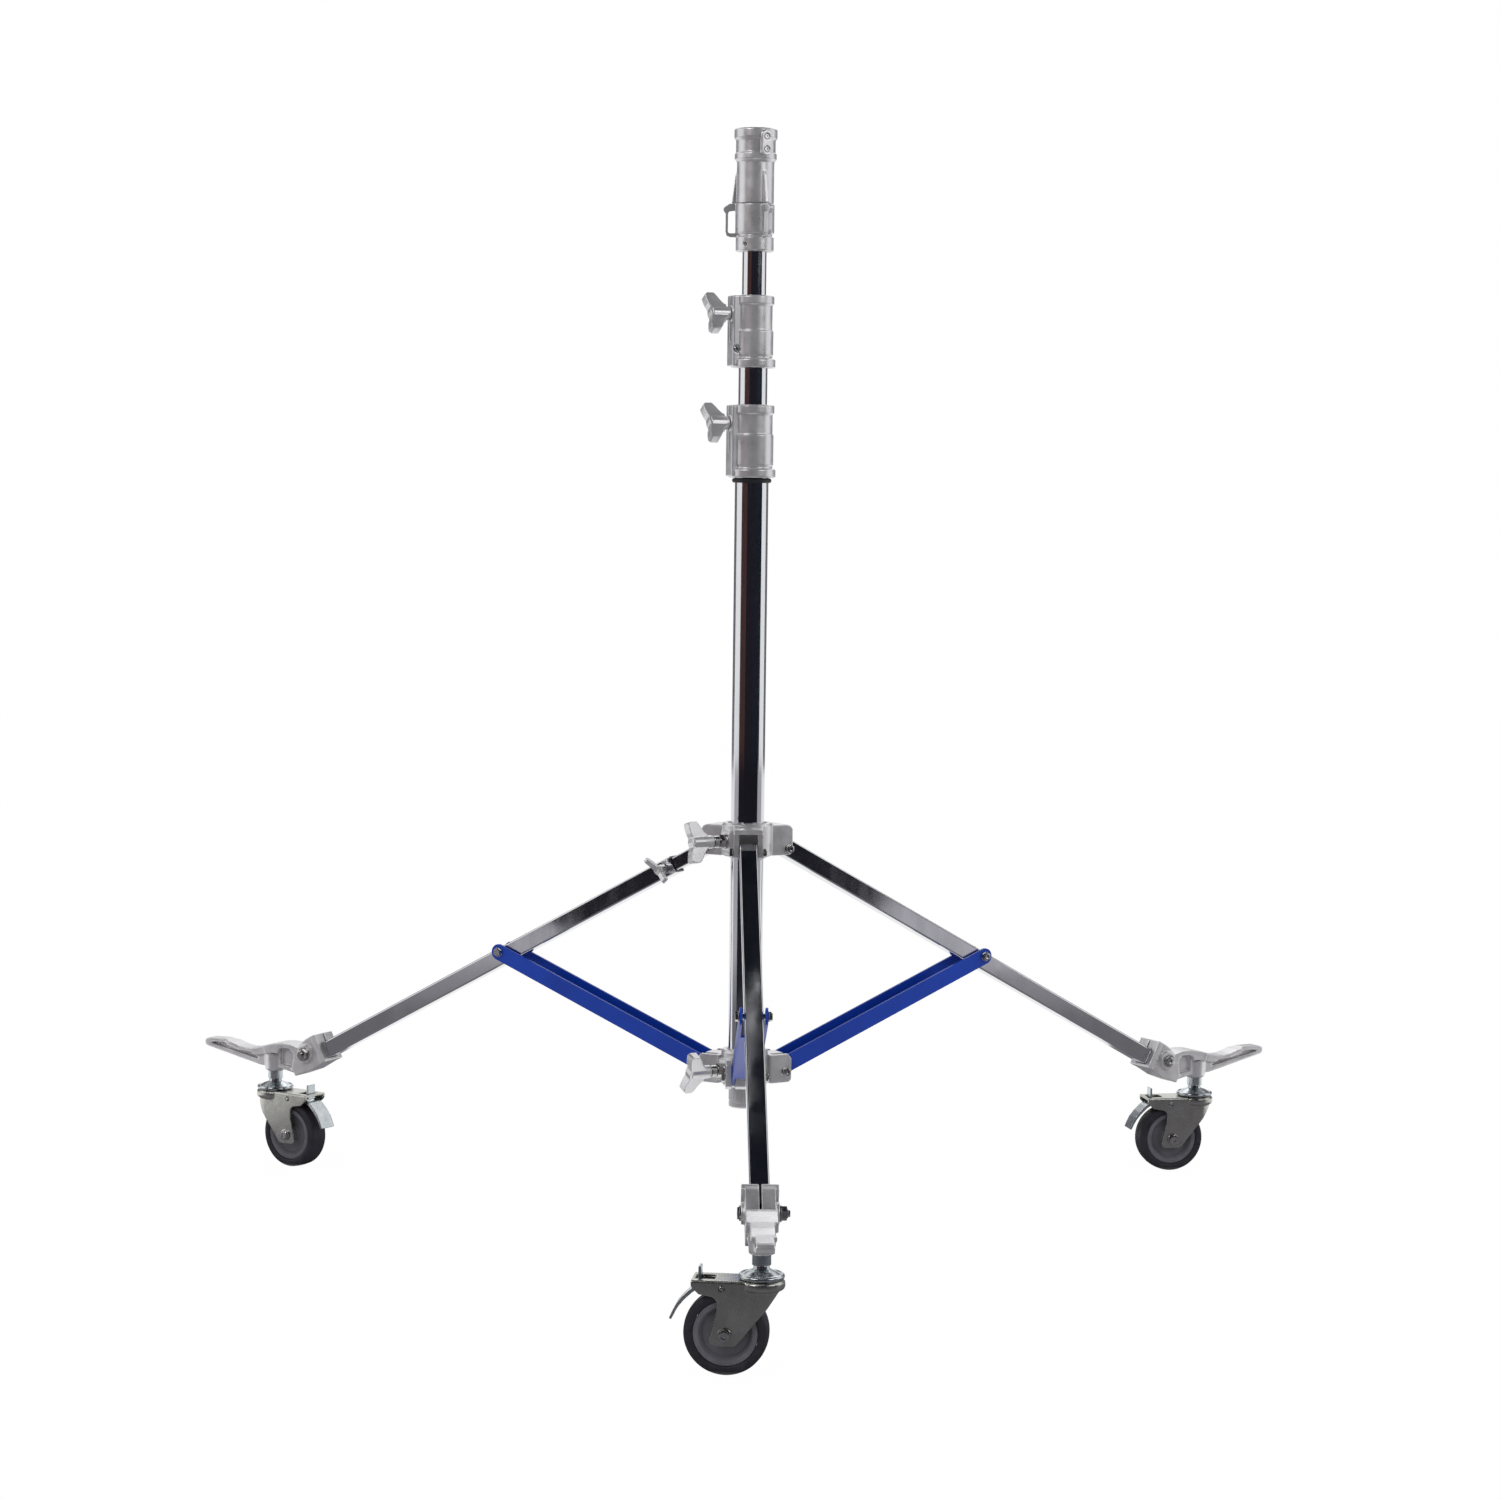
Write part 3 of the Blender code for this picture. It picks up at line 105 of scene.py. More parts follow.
def new_finish(name, metallic, roughness):
    material = bpy.data.materials.new(name)
    material.use_nodes = True
    tree = material.node_tree
    shader = tree.nodes["Principled BSDF"]
    shader.inputs["Metallic"].default_value = metallic
    shader.inputs["Roughness"].default_value = roughness
    place = add_node(tree, "TexCoord").outputs["Object"]
    return material, tree, shader, place


def noise(tree, place, size_mm, detail=3.0, stretch=None):
    """Noise whose lumps are about size_mm across."""
    if stretch:
        place = add_node(tree, "Mapping", {"Vector": place, "Scale": stretch}).outputs[0]
    return add_node(tree, "TexNoise", {"Vector": place, "Scale": 1 / (size_mm * MM),
                                       "Detail": detail, "Roughness": 0.55}).outputs["Fac"]


def spread(tree, value, low, high, low_in=0.3, high_in=0.7):
    """Stretch a pattern between two values."""
    return add_node(tree, "MapRange", {"Value": value, "From Min": low_in, "From Max": high_in,
                                       "To Min": low, "To Max": high}).outputs["Result"]


def patches(tree, place, size_mm, detail):
    """Cloudy patches that run from 0 to 1."""
    return spread(tree, noise(tree, place, size_mm, detail), 0.0, 1.0)


def tint(tree, shader, factor, first, second):
    """Mix two shades by a pattern into the base colour."""
    node = add_node(tree, "Mix", data_type="RGBA")
    tree.links.new(factor, node.inputs["Factor"])
    node.inputs[6].default_value = colour(first)
    node.inputs[7].default_value = colour(second)
    link_to(tree, node.outputs[2], shader, "Base Color")


def bump(tree, shader, height, depth_mm, strength=1.0):
    node = add_node(tree, "Bump", {"Height": height, "Distance": depth_mm * MM,
                                   "Strength": strength})
    link_to(tree, node.outputs["Normal"], shader, "Normal")


def link_to(tree, value, shader, socket):
    tree.links.new(value, shader.inputs[socket])


print("white is", colour("#FFFFFF")[:3])

# %% [markdown]
# The tubes and legs are steel with polished chrome plate. Chrome is nearly a mirror, so its
# look comes from what it reflects. The plate is a little uneven: faint cloudy wiping marks
# of 30 mm make some places blur more, and a very shallow wave bends the reflections.

# %% Polished chrome plate
chrome, tree, shader, place = new_finish("polished_chrome_plate", 1.0, 0.06)
shader.inputs["Base Color"].default_value = colour("#DADBDE")
wipes = noise(tree, place, 30, 4.0, (1, 1, 0.35))
link_to(tree, spread(tree, wipes, 0.045, 0.13), shader, "Roughness")
bump(tree, shader, noise(tree, place, 45, 1.0), 0.12, 0.35)

# %% [markdown]
# The collars, spiders, feet and handles are die-cast aluminium, tumbled and left bare. The
# skin is bright but broken up: a fine grain of about 1 mm, drawn coarser than the real
# 0.2 mm so that it shows, and duller clouds where the tumbling stones reached less. Its thin
# oxide scatters some light as paint does, so the finish is not set to a full metal.

# %% Tumbled cast aluminium
cast_alloy, tree, shader, place = new_finish("tumbled_cast_aluminium", 0.78, 0.33)
clouds = noise(tree, place, 16, 3.0)
grain = noise(tree, place, 1.1, 2.0)
tint(tree, shader, spread(tree, clouds, 0.0, 1.0), "#CECDCF", "#DFDEE0")
link_to(tree, spread(tree, clouds, 0.26, 0.38), shader, "Roughness")
bump(tree, shader, grain, 0.04, 0.25)

# %% [markdown]
# The braces are pressed steel with a blue powder coat. Powder melts into a skin with a soft
# orange peel, about 2 mm from bump to bump. Its shine is broad and weak, so the highlights
# are kept low and only a trace of a clear top coat is left.

# %% Blue powder coat
blue_coat, tree, shader, place = new_finish("gloss_blue_powder_coat", 0.0, 0.38)
tint(tree, shader, patches(tree, place, 60, 2.0), "#062E8A", "#08369A")
shader.inputs["Specular IOR Level"].default_value = 0.3
shader.inputs["Coat Weight"].default_value = 0.06
shader.inputs["Coat Roughness"].default_value = 0.12
bump(tree, shader, noise(tree, place, 2.2, 1.0), 0.05, 0.5)

# %% [markdown]
# The forks are pressed steel with a thin zinc plate. Zinc is greyer than chrome, here with a
# slightly yellow cast from its sealing bath, faint patches and a satin shine.

# %% Bright zinc plate
zinc, tree, shader, place = new_finish("bright_zinc_plate", 1.0, 0.28)
tint(tree, shader, patches(tree, place, 22, 2.0), "#B9B9B1", "#CBCBC6")
link_to(tree, spread(tree, noise(tree, place, 6, 2.0), 0.24, 0.32), shader, "Roughness")
bump(tree, shader, noise(tree, place, 1.2, 1.0), 0.01, 0.12)

# %% [markdown]
# The stems with their rolled caps and the pedals have a brighter and bluer zinc than the
# forks. It is smoother too, so it mirrors the room a little more sharply.

# %% Fresh zinc on stems and pedals
fresh_zinc, tree, shader, place = new_finish("fresh_zinc_plate", 1.0, 0.22)
tint(tree, shader, patches(tree, place, 14, 2.0), "#BBC3C7", "#D2D7D9")
link_to(tree, spread(tree, noise(tree, place, 5, 2.0), 0.18, 0.28), shader, "Roughness")

# %% [markdown]
# Bolts, nuts and axles are turned steel with a thin bright plate. The turning leaves lines
# that are too fine to see, so a soft unevenness of 2 mm stands for them.

# %% Plated bolts
bolt_steel, tree, shader, place = new_finish("plated_bolt_steel", 1.0, 0.2)
tint(tree, shader, patches(tree, place, 4, 2.0), "#B9B9B6", "#D2D2D2")
link_to(tree, spread(tree, noise(tree, place, 2, 3.0), 0.14, 0.3), shader, "Roughness")

# %% [markdown]
# The tyres are a grey thermoplastic rubber over a grey nylon hub. The rubber has a fine
# skin of 0.8 mm grain and is a little dusty and paler where it has rolled. The nylon is
# moulded, smoother and a little paler. The stop ring on the mast is black rubber, and the
# guides inside the tubes are black nylon.

# %% Tyre, hub and rubber ring
tyre_rubber, tree, shader, place = new_finish("grey_tyre_rubber", 0.0, 0.5)
dust = patches(tree, place, 9, 4.0)
tint(tree, shader, dust, "#201E26", "#2A2830")
shader.inputs["Specular IOR Level"].default_value = 0.25
link_to(tree, spread(tree, dust, 0.42, 0.6, 0.0, 1.0), shader, "Roughness")
bump(tree, shader, noise(tree, place, 0.8, 2.0), 0.05, 0.4)

hub_nylon, tree, shader, place = new_finish("moulded_grey_nylon", 0.0, 0.4)
tint(tree, shader, patches(tree, place, 20, 2.0), "#4A4A50", "#57575D")
shader.inputs["Specular IOR Level"].default_value = 0.25
bump(tree, shader, noise(tree, place, 1.2, 2.0), 0.03, 0.3)

black_rubber, tree, shader, place = new_finish("moulded_black_rubber", 0.0, 0.55)
tint(tree, shader, patches(tree, place, 5, 3.0), "#131315", "#1D1D20")
bump(tree, shader, noise(tree, place, 0.8, 2.0), 0.05, 0.4)

guide_nylon, tree, shader, place = new_finish("moulded_black_nylon", 0.0, 0.45)
tint(tree, shader, patches(tree, place, 8, 2.0), "#18181A", "#222225")
bump(tree, shader, noise(tree, place, 1.0, 2.0), 0.03, 0.3)
print("finishes:", len(bpy.data.materials))

# %% [markdown]
# Three makers cover nearly every piece. A turned piece is a half section spun round an
# axis, as on a lathe. A plate is an outline given a thickness. A casting is made of such
# solids, fused and cut, then remeshed in voxels and smoothed a little, which rounds every
# corner and fillets every joint the way a die does.

# %% Shape helpers
FINE = 72
ROUND = 40


def turned(profile, segments=FINE):
    """A closed half section of (radius, height) spun round z."""
    bm = bmesh.new()
    verts = [bm.verts.new((radius, 0, height)) for radius, height in profile]
    edges = [bm.edges.new(pair) for pair in zip(verts, verts[1:] + verts[:1])
             if max(pair[0].co.x, pair[1].co.x) > 1e-7]
    bmesh.ops.spin(bm, geom=verts + edges, axis=(0, 0, 1), cent=(0, 0, 0), steps=segments,
                   angle=math.tau, use_merge=True, use_duplicate=False)
    bmesh.ops.remove_doubles(bm, verts=bm.verts, dist=1e-6)
    bmesh.ops.recalc_face_normals(bm, faces=bm.faces)
    return bm


def drum(radius, low, high, segments=ROUND):
    return turned([(0, low), (radius, low), (radius, high), (0, high)], segments)


def plate(points, half_width):
    """An outline of (x, z) points given a thickness along y."""
    bm = bmesh.new()
    face = bm.faces.new([bm.verts.new((x, -half_width, z)) for x, z in points])
    pushed = bmesh.ops.extrude_face_region(bm, geom=[face])["geom"]
    far_side = [item for item in pushed if isinstance(item, bmesh.types.BMVert)]
    bmesh.ops.translate(bm, verts=far_side, vec=(0, 2 * half_width, 0))
    bmesh.ops.recalc_face_normals(bm, faces=bm.faces)
    return bm


def block(low, high, rounding=0.0, segments=3):
    bm = bmesh.new()
    bmesh.ops.create_cube(bm, size=1.0)
    size = Vector(high) - Vector(low)
    bmesh.ops.scale(bm, verts=bm.verts, vec=size)
    bmesh.ops.translate(bm, verts=bm.verts, vec=(Vector(high) + Vector(low)) / 2)
    if rounding:
        round_edges(bm, bm.edges[:], rounding, segments)
    return bm


def round_edges(bm, edges, radius, segments=3):
    bmesh.ops.bevel(bm, geom=edges, offset=radius, segments=segments, profile=0.5,
                    affect="EDGES", material=-1, clamp_overlap=True)


def moved(bm, *matrices):
    for matrix in matrices:
        bmesh.ops.transform(bm, matrix=matrix, verts=bm.verts)
    return bm


def along_y(bm):
    return moved(bm, turn(math.radians(90), "X"))


def along_x(bm):
    return moved(bm, turn(math.radians(90), "Y"))


def cross_hole(radius, at, reach=30 * MM, segments=24):
    """A drill along y through a point."""
    return moved(along_y(drum(radius, -reach, reach, segments)), Matrix.Translation(at))


def mirrored_in_y(bm):
    """The same shape on the other side, with its faces turned out again."""
    bmesh.ops.scale(bm, verts=bm.verts, vec=(1, -1, 1))
    bmesh.ops.recalc_face_normals(bm, faces=bm.faces)
    return bm


def with_mirror(points):
    """An outline's upper half and its mirror image below; the last point lies on the axis."""
    return points + [(x, -z) for x, z in reversed(points[:-1])]


def joined(*parts):
    """Several solids in one mesh."""
    mesh = bpy.data.meshes.new("joined")
    bm = parts[0]
    for other in parts[1:]:
        other.to_mesh(mesh)
        other.free()
        bm.from_mesh(mesh)
    bpy.data.meshes.remove(mesh)
    return bm


def as_object(bm, name="work"):
    mesh = bpy.data.meshes.new(name)
    bm.to_mesh(mesh)
    bm.free()
    obj = bpy.data.objects.new(name, mesh)
    bpy.context.scene.collection.objects.link(obj)
    return obj


def discard(*objects):
    for obj in objects:
        mesh = obj.data
        bpy.data.objects.remove(obj)
        bpy.data.meshes.remove(mesh)


def carved(solids, cuts=(), grain=0.0, smooth=4, keep=1.0):
    """Fuse solids and take cuts away; with a grain, remesh at that voxel size and smooth."""
    body = as_object(solids[0])
    tools = []
    for shape, operation in ([(item, "UNION") for item in solids[1:]]
                             + [(item, "DIFFERENCE") for item in cuts]):
        tool = as_object(shape, "tool")
        tools.append(tool)
        modifier = body.modifiers.new("fuse", "BOOLEAN")
        modifier.object = tool
        modifier.operation = operation
        modifier.solver = "EXACT"
    if grain:
        remesh = body.modifiers.new("voxels", "REMESH")
        remesh.mode = "VOXEL"
        remesh.voxel_size = grain
        if smooth:
            soft = body.modifiers.new("soften", "SMOOTH")
            soft.factor = 0.5
            soft.iterations = smooth
        if keep < 1.0:
            fewer = body.modifiers.new("fewer", "DECIMATE")
            fewer.ratio = keep
    bpy.context.view_layer.update()
    shaped = body.evaluated_get(bpy.context.evaluated_depsgraph_get())
    mesh = bpy.data.meshes.new_from_object(shaped)
    discard(body, *tools)
    bm = bmesh.new()
    bm.from_mesh(mesh)
    bpy.data.meshes.remove(mesh)
    return bm


def piece(name, bm, material, body, replaced=(), sharp=40):
    """A finished piece: its place is in its mesh, and it rides on a body."""
    mesh = bpy.data.meshes.new(name)
    bm.to_mesh(mesh)
    bm.free()
    mesh.materials.append(material)
    mesh.shade_smooth()
    if sharp:
        mesh.set_sharp_from_angle(angle=math.radians(sharp))
    obj = bpy.data.objects.new(name, mesh)
    bpy.context.scene.collection.objects.link(obj)
    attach(obj, body)
    if replaced:
        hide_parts(*replaced)
    return obj


def cast_piece(name, bm, body, node, sharp=0):
    return piece(name, bm, cast_alloy, body, [node], sharp)


def steel_piece(name, bm, body, node=None, sharp=40):
    return piece(name, bm, bolt_steel, body, [node] if node else (), sharp)


def copy_of(bm, *matrices):
    return moved(bm.copy(), *matrices)


print("makers ready")

# %% [markdown]
# The three tubes are drawn with a small rounding on each cut end, and with enough sides
# that their outline looks round. The mast is 35 mm, and the risers 30 mm and 25 mm. The
# rims stay sharp in the shading: blended normals there would bend along the whole tube.

# %% Tubes
TUBE_WALL = 1.5 * MM


def tube(name, node, body):
    low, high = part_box(node)
    radius = (high.x - low.x) / 2
    inner = radius - TUBE_WALL
    edge = 0.4 * MM
    profile = [(inner, low.z), (radius - edge, low.z), (radius, low.z + edge),
               (radius, high.z - edge), (radius - edge, high.z), (inner, high.z)]
    made = moved(turned(profile, 96), around_mast())
    return piece(name, made, chrome, body, [node], 30)


for settings in (("mast", "mast_tube", "mast"), ("middle_riser", "riser_1_tube", "riser_1"),
                 ("top_riser", "riser_2_tube", "riser_2")):
    made = tube(*settings)
    print(made.name, "faces:", len(made.data.polygons))

# %% [markdown]
# A cast plug closes the mast's lower end. It is ribbed along its length, with a groove near
# the end. The ribs stand between shallow flutes, made by pushing in every third strip of
# the side.

# %% Mast plug
plug_low, plug_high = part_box("mast_plug")
plug_radius = (plug_high.x - plug_low.x) / 2
plug_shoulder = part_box("mast_tube")[0].z - 0.3 * MM
plug_groove = plug_low.z + 6 * MM
plug = turned([
    (0, plug_low.z), (plug_radius - 1.5 * MM, plug_low.z), (plug_radius, plug_low.z + 1.5 * MM),
    (plug_radius, plug_groove), (plug_radius - 0.9 * MM, plug_groove + 0.5 * MM),
    (plug_radius - 0.9 * MM, plug_groove + 1.5 * MM), (plug_radius, plug_groove + 2 * MM),
    (plug_radius, plug_shoulder - 0.5 * MM), (plug_radius - 0.5 * MM, plug_shoulder),
    (0, plug_shoulder)], FINE)
ribs = [face for face in plug.faces if abs(face.normal.z) < 0.1
        and face.calc_center_median().z > plug_groove + 2 * MM]
ribs.sort(key=lambda face: math.atan2(face.calc_center_median().y, face.calc_center_median().x))
for rib in ribs[::3]:
    bmesh.ops.inset_individual(plug, faces=[rib], thickness=0.25 * MM, depth=-0.4 * MM)
cast_piece("mast_end_plug", moved(plug, around_mast()), "mast", "mast_plug", 30)
print("plug ribs:", len(ribs[::3]))

# %% [markdown]
# The rubber ring under the lower collar is a stop that softens the fold: the upper spider
# comes up against it. Its outer side is rounded.

# %% Rubber ring
ring_low, ring_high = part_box("mast_bumper_ring")
ring_radius = (ring_high.x - ring_low.x) / 2
mast_radius = (mast_high.x - mast_low.x) / 2
ring_middle = (ring_low.z + ring_high.z) / 2
ring_half = (ring_high.z - ring_low.z) / 2
ring_profile = [(mast_radius + 0.3 * MM, ring_low.z)]
for step in range(9):
    bend = math.radians(-90 + 180 * step / 8)
    ring_profile.append((ring_radius - ring_half + ring_half * math.cos(bend),
                         ring_middle + ring_half * math.sin(bend)))
ring_profile.append((mast_radius + 0.3 * MM, ring_high.z))
piece("rubber_stop_ring", moved(turned(ring_profile), around_mast()), black_rubber, "mast",
      ["mast_bumper_ring"], 60)
print("ring radius in mm:", round(ring_radius / MM, 1))

# %% [markdown]
# Small fasteners repeat all over the stand: socket screws in the castings, hex bolts with a
# washer and a nut at the pivots, and the feet's clamp bolts, which have a low head and a
# flanged nut. A hex head is a drum of six sides with its top edges rounded off, and a
# socket is an inset face pushed in.

# %% Screws and bolts


def hexagon(radius, low, high, socket=0.0):
    """A hex head or nut along z with its top corners turned off."""
    bm = bmesh.new()
    made = bmesh.ops.create_cone(bm, cap_ends=True, segments=6, radius1=radius, radius2=radius,
                                 depth=high - low)
    bmesh.ops.translate(bm, verts=made["verts"], vec=(0, 0, (low + high) / 2))
    top = [edge for edge in bm.edges if all(vert.co.z > high - 1e-6 for vert in edge.verts)]
    round_edges(bm, top, radius * 0.12, 2)
    if socket:
        sink_socket(bm, high, socket)
    return bm


def sink_socket(bm, high, radius, depth=1.6 * MM):
    """Push a hex socket into the topmost flat face."""
    top = max((face for face in bm.faces if face.normal.z > 0.99),
              key=lambda face: face.calc_area())
    span = max((vert.co.xy.length for vert in top.verts))
    bmesh.ops.inset_region(bm, faces=[top], thickness=span - radius)
    bmesh.ops.inset_region(bm, faces=[top], thickness=0.05 * MM, depth=-depth)


def socket_screw(radius, low, high):
    bm = turned([(0, low), (radius, low), (radius, high - 0.5 * MM), (radius - 0.5 * MM, high),
                 (0, high)], 24)
    bmesh.ops.dissolve_limit(bm, angle_limit=math.radians(1), verts=bm.verts, edges=bm.edges)
    sink_socket(bm, high, radius * 0.5, radius * 0.7)
    return bm


def washer(radius, low, high):
    edge = 0.2 * MM
    return turned([(0, low), (radius - edge, low), (radius, low + edge), (radius, high - edge),
                   (radius - edge, high), (0, high)], 32)


def clamp_bolt(half_grip):
    """The foot's bolt along y: a low head on one side, a flanged nut and thread on the other."""
    seat = half_grip + 0.3 * MM
    parts = [
        drum(3 * MM, -seat - 9.2 * MM, seat + 0.5 * MM, 24),
        washer(7 * MM, seat, seat + 1.4 * MM),
        hexagon(5.6 * MM, seat + 1.4 * MM, seat + 3.2 * MM, 3 * MM),
        moved(washer(7.6 * MM, seat, seat + 1.5 * MM), turn(math.pi, "X")),
        moved(hexagon(6.5 * MM, seat + 1.5 * MM, seat + 6.5 * MM), turn(math.pi, "X")),
        moved(washer(4.2 * MM, seat + 6.3 * MM, seat + 7.4 * MM), turn(math.pi, "X")),
    ]
    return along_y(joined(*parts))


def bolt_across(half_grip):
    """A bolt along y: washer and hex head on one side, washer and domed nut on the other."""
    head, shank, height = 5.2 * MM, 3 * MM, 4 * MM
    seat = half_grip + 0.3 * MM
    plate_end = seat + 1.0 * MM
    nut_end = seat + height
    parts = [
        drum(shank, -seat - 0.5 * MM, seat + 0.5 * MM, 24),
        washer(head, seat, plate_end),
        hexagon(head * 0.94, plate_end, nut_end, head * 0.5),
        moved(washer(head, seat, plate_end), turn(math.pi, "X")),
        moved(hexagon(head * 0.94, plate_end, nut_end - 1 * MM), turn(math.pi, "X")),
        moved(washer(head * 0.72, nut_end - 1.2 * MM, nut_end), turn(math.pi, "X")),
    ]
    return along_y(joined(*parts))


print("bolt ready")

# %% [markdown]
# A collar is cast in one: a turned sleeve with a flange, a groove and a step, and beside it
# a full-height block that is slit so that a screw can pinch it on the riser. Drawing the
# slit as a cut leaves the clamp's two jaws, as on the real one. The pinch screw sits in a
# pocket in the side of the block that faces the camera.

# %% Clamp collars
CLAMP_ANGLE = math.radians(202)


def collar(name, node, radius, riser_radius, body, step_height, line_drop):
    low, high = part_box(node)
    bottom, top = low.z, high.z
    throat = riser_radius + 0.3 * MM
    flange = radius + 2.5 * MM
    bore = radius - 4.2 * MM
    line = step_height - line_drop
    sleeve = turned([
        (bore, bottom), (flange - 1 * MM, bottom), (flange, bottom + 1 * MM),
        (flange, bottom + 8 * MM), (flange - 1 * MM, bottom + 9 * MM),
        (radius - 0.9 * MM, bottom + 9.8 * MM), (radius - 0.9 * MM, bottom + 12.2 * MM),
        (radius, bottom + 13 * MM), (radius, line - 0.4 * MM),
        (radius - 1.1 * MM, line + 0.3 * MM), (radius - 1.1 * MM, top - 10 * MM),
        (radius + 0.6 * MM, top - 8.6 * MM), (radius + 0.6 * MM, top - 1.2 * MM),
        (radius - 0.8 * MM, top), (throat, top), (throat, step_height), (bore, step_height)])
    middle = top - 19 * MM
    clamp_block = block((bore + 1.5 * MM, -8.5 * MM, bottom + 1.2 * MM),
                        (26.2 * MM, 8.5 * MM, top - 0.4 * MM), 1.2 * MM, 2)
    screw_pad = moved(along_x(drum(8 * MM, 20 * MM, 27 * MM)), shift(z=middle))
    slit = block((throat - 1 * MM, -0.9 * MM, bottom + 26 * MM), (35 * MM, 0.9 * MM, top + 5 * MM))
    screw_hole = moved(along_x(drum(4.3 * MM, 0, 40 * MM, 24)), shift(z=middle))
    pocket = moved(along_y(drum(3.9 * MM, 0, 10 * MM, 32)),
                   turn(math.pi), shift(x=22 * MM, y=6.2 * MM, z=bottom + 19 * MM))
    shape = carved([sleeve, clamp_block, screw_pad], [slit, screw_hole, pocket],
                   0.55 * MM, 3, 0.45)
    made = cast_piece(name, moved(shape, around_mast(CLAMP_ANGLE)), body, node)
    screw = moved(along_y(socket_screw(2.7 * MM, -1 * MM, 1.6 * MM)), turn(math.pi),
                  shift(x=22 * MM, y=6.6 * MM, z=bottom + 19 * MM))
    steel_piece(name + "_pinch_screw", moved(screw, around_mast(CLAMP_ANGLE)), body)
    return made


for settings in (
        ("lower_clamp_collar", "mast_collar", 22 * MM, 15 * MM, "mast", 829.5 * MM, 3 * MM),
        ("upper_clamp_collar", "riser_collar", 20.5 * MM, 12.5 * MM, "riser_1", 943.5 * MM,
         10.5 * MM)):
    made = collar(*settings)
    print(made.name, "triangles:", len(made.data.polygons))

# %% [markdown]
# The clamping handles are two-winged castings on a threaded screw. The wings lean away from
# the stand so that fingers fit behind them. The thread shows between the handle and its
# boss, so it is modelled as close rings. On the spiders a locknut sits on that thread.

# %% Wing handles


def threaded(radius, low, high, pitch=1.25 * MM):
    """A screw's thread drawn as rings, which looks the same from a step away."""
    profile = [(0, low)]
    height = low
    while height + pitch < high:
        profile += [(radius - 0.45 * MM, height), (radius, height + pitch / 2)]
        height += pitch
    profile += [(radius - 0.45 * MM, height), (radius - 0.45 * MM, high), (0, high)]
    return turned(profile, 24)


def wing_handle(name, node, reach, back, height, angle, roll, shank_start, body):
    hub, half = 7.5 * MM, 21.5 * MM
    front = back + 21 * MM
    upper = [(back, hub), (back + 2.6 * MM, hub + 1.6 * MM), (back + 5.4 * MM, hub + 5.4 * MM),
             (back + 8.6 * MM, half - 3 * MM), (back + 11 * MM, half), (front - 2.4 * MM, half),
             (front, half - 2 * MM), (front - 0.4 * MM, half - 6 * MM),
             (front - 1.6 * MM, hub + 2 * MM), (front - 3.5 * MM, hub - 2.5 * MM),
             (front - 2.5 * MM, 0)]
    wings = plate(with_mirror(upper), 5.5 * MM)
    start = max(back - 8 * MM, 0.5 * MM)
    neck = along_x(turned([(0, start), (6 * MM, start), (6.9 * MM, start + 1 * MM),
                           (7.3 * MM, back + 3 * MM), (7.2 * MM, front - 5 * MM),
                           (0, front - 5 * MM)], 32))
    shape = carved([wings, neck], [], 0.5 * MM, 5, 0.4)
    frame_in = around_mast(angle) @ shift(x=reach, z=height) @ turn(roll, "X")
    cast_piece(name, moved(shape, frame_in), body, node)
    screw = along_x(threaded(4 * MM, shank_start - reach, back))
    steel_piece(name + "_screw", moved(screw, frame_in), body)
    if start > 5 * MM:
        locknut = joined(washer(7.8 * MM, -5.7 * MM, -4.2 * MM),
                         hexagon(7.4 * MM, -4.2 * MM, 2.6 * MM),
                         washer(6.4 * MM, 3.4 * MM, start - 0.4 * MM))
        steel_piece(name + "_locknut", moved(along_x(locknut), frame_in), body)


SPIDER_ANGLE = math.radians(210)
for settings in (
        ("lower_collar_handle", "mast_collar_handle", 27 * MM, 4.5 * MM, 838 * MM,
         CLAMP_ANGLE, math.radians(35), 15.3 * MM, "mast_handle"),
        ("upper_collar_handle", "riser_collar_handle", 27 * MM, 4.5 * MM, 950 * MM,
         CLAMP_ANGLE, math.radians(30), 12.8 * MM, "riser_handle"),
        ("lower_spider_wing_handle", "lower_spider_handle", 33 * MM, 17.5 * MM, 164.5 * MM,
         SPIDER_ANGLE, math.radians(-24), 17.8 * MM, "lower_handle"),
        ("upper_spider_wing_handle", "upper_spider_handle", 33 * MM, 17.5 * MM, 405 * MM,
         SPIDER_ANGLE, math.radians(14), 20.1 * MM, "upper_handle")):
    wing_handle(*settings)
    print(settings[0], "on body", settings[-1])

# %% [markdown]
# The head takes a lamp's 28 mm spigot. Its upper half has two turned bands and an oblong boss
# with two socket screws, and three tapered ribs run down its lower half. The bands are part
# of the half section, so only the boss and the ribs have to be fused to it.

# %% Receiver
rec_low, rec_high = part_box("receiver_barrel")
head_top, head_low = rec_high.z, rec_low.z
band = 22.2 * MM
barrel_radius = 19.2 * MM
socket_radius = 14.3 * MM
bore_floor = head_low + 6 * MM
receiver_shape = turned([
    (0, head_low), (barrel_radius, head_low), (barrel_radius, head_top - 34 * MM),
    (band - 1.6 * MM, head_top - 32 * MM), (band - 0.6 * MM, head_top - 31.2 * MM),
    (band - 0.6 * MM, head_top - 25.6 * MM), (band - 1.8 * MM, head_top - 24.8 * MM),
    (band - 1.8 * MM, head_top - 12 * MM), (band - 0.6 * MM, head_top - 10.4 * MM),
    (band, head_top - 9 * MM), (band, head_top - 1.2 * MM), (band - 1.2 * MM, head_top),
    (socket_radius + 1 * MM, head_top), (socket_radius, head_top - 1 * MM),
    (socket_radius, bore_floor), (0, bore_floor)])
screw_boss = block((band - 5 * MM, -5 * MM, head_top - 29 * MM),
                   (band + 3 * MM, 5 * MM, head_top - 3 * MM))
boss_edges = [edge for edge in screw_boss.edges
              if abs(edge.verts[0].co.x - edge.verts[1].co.x) > 1 * MM]
round_edges(screw_boss, boss_edges, 4.6 * MM, 6)
boss_turn = turn(math.radians(-64))
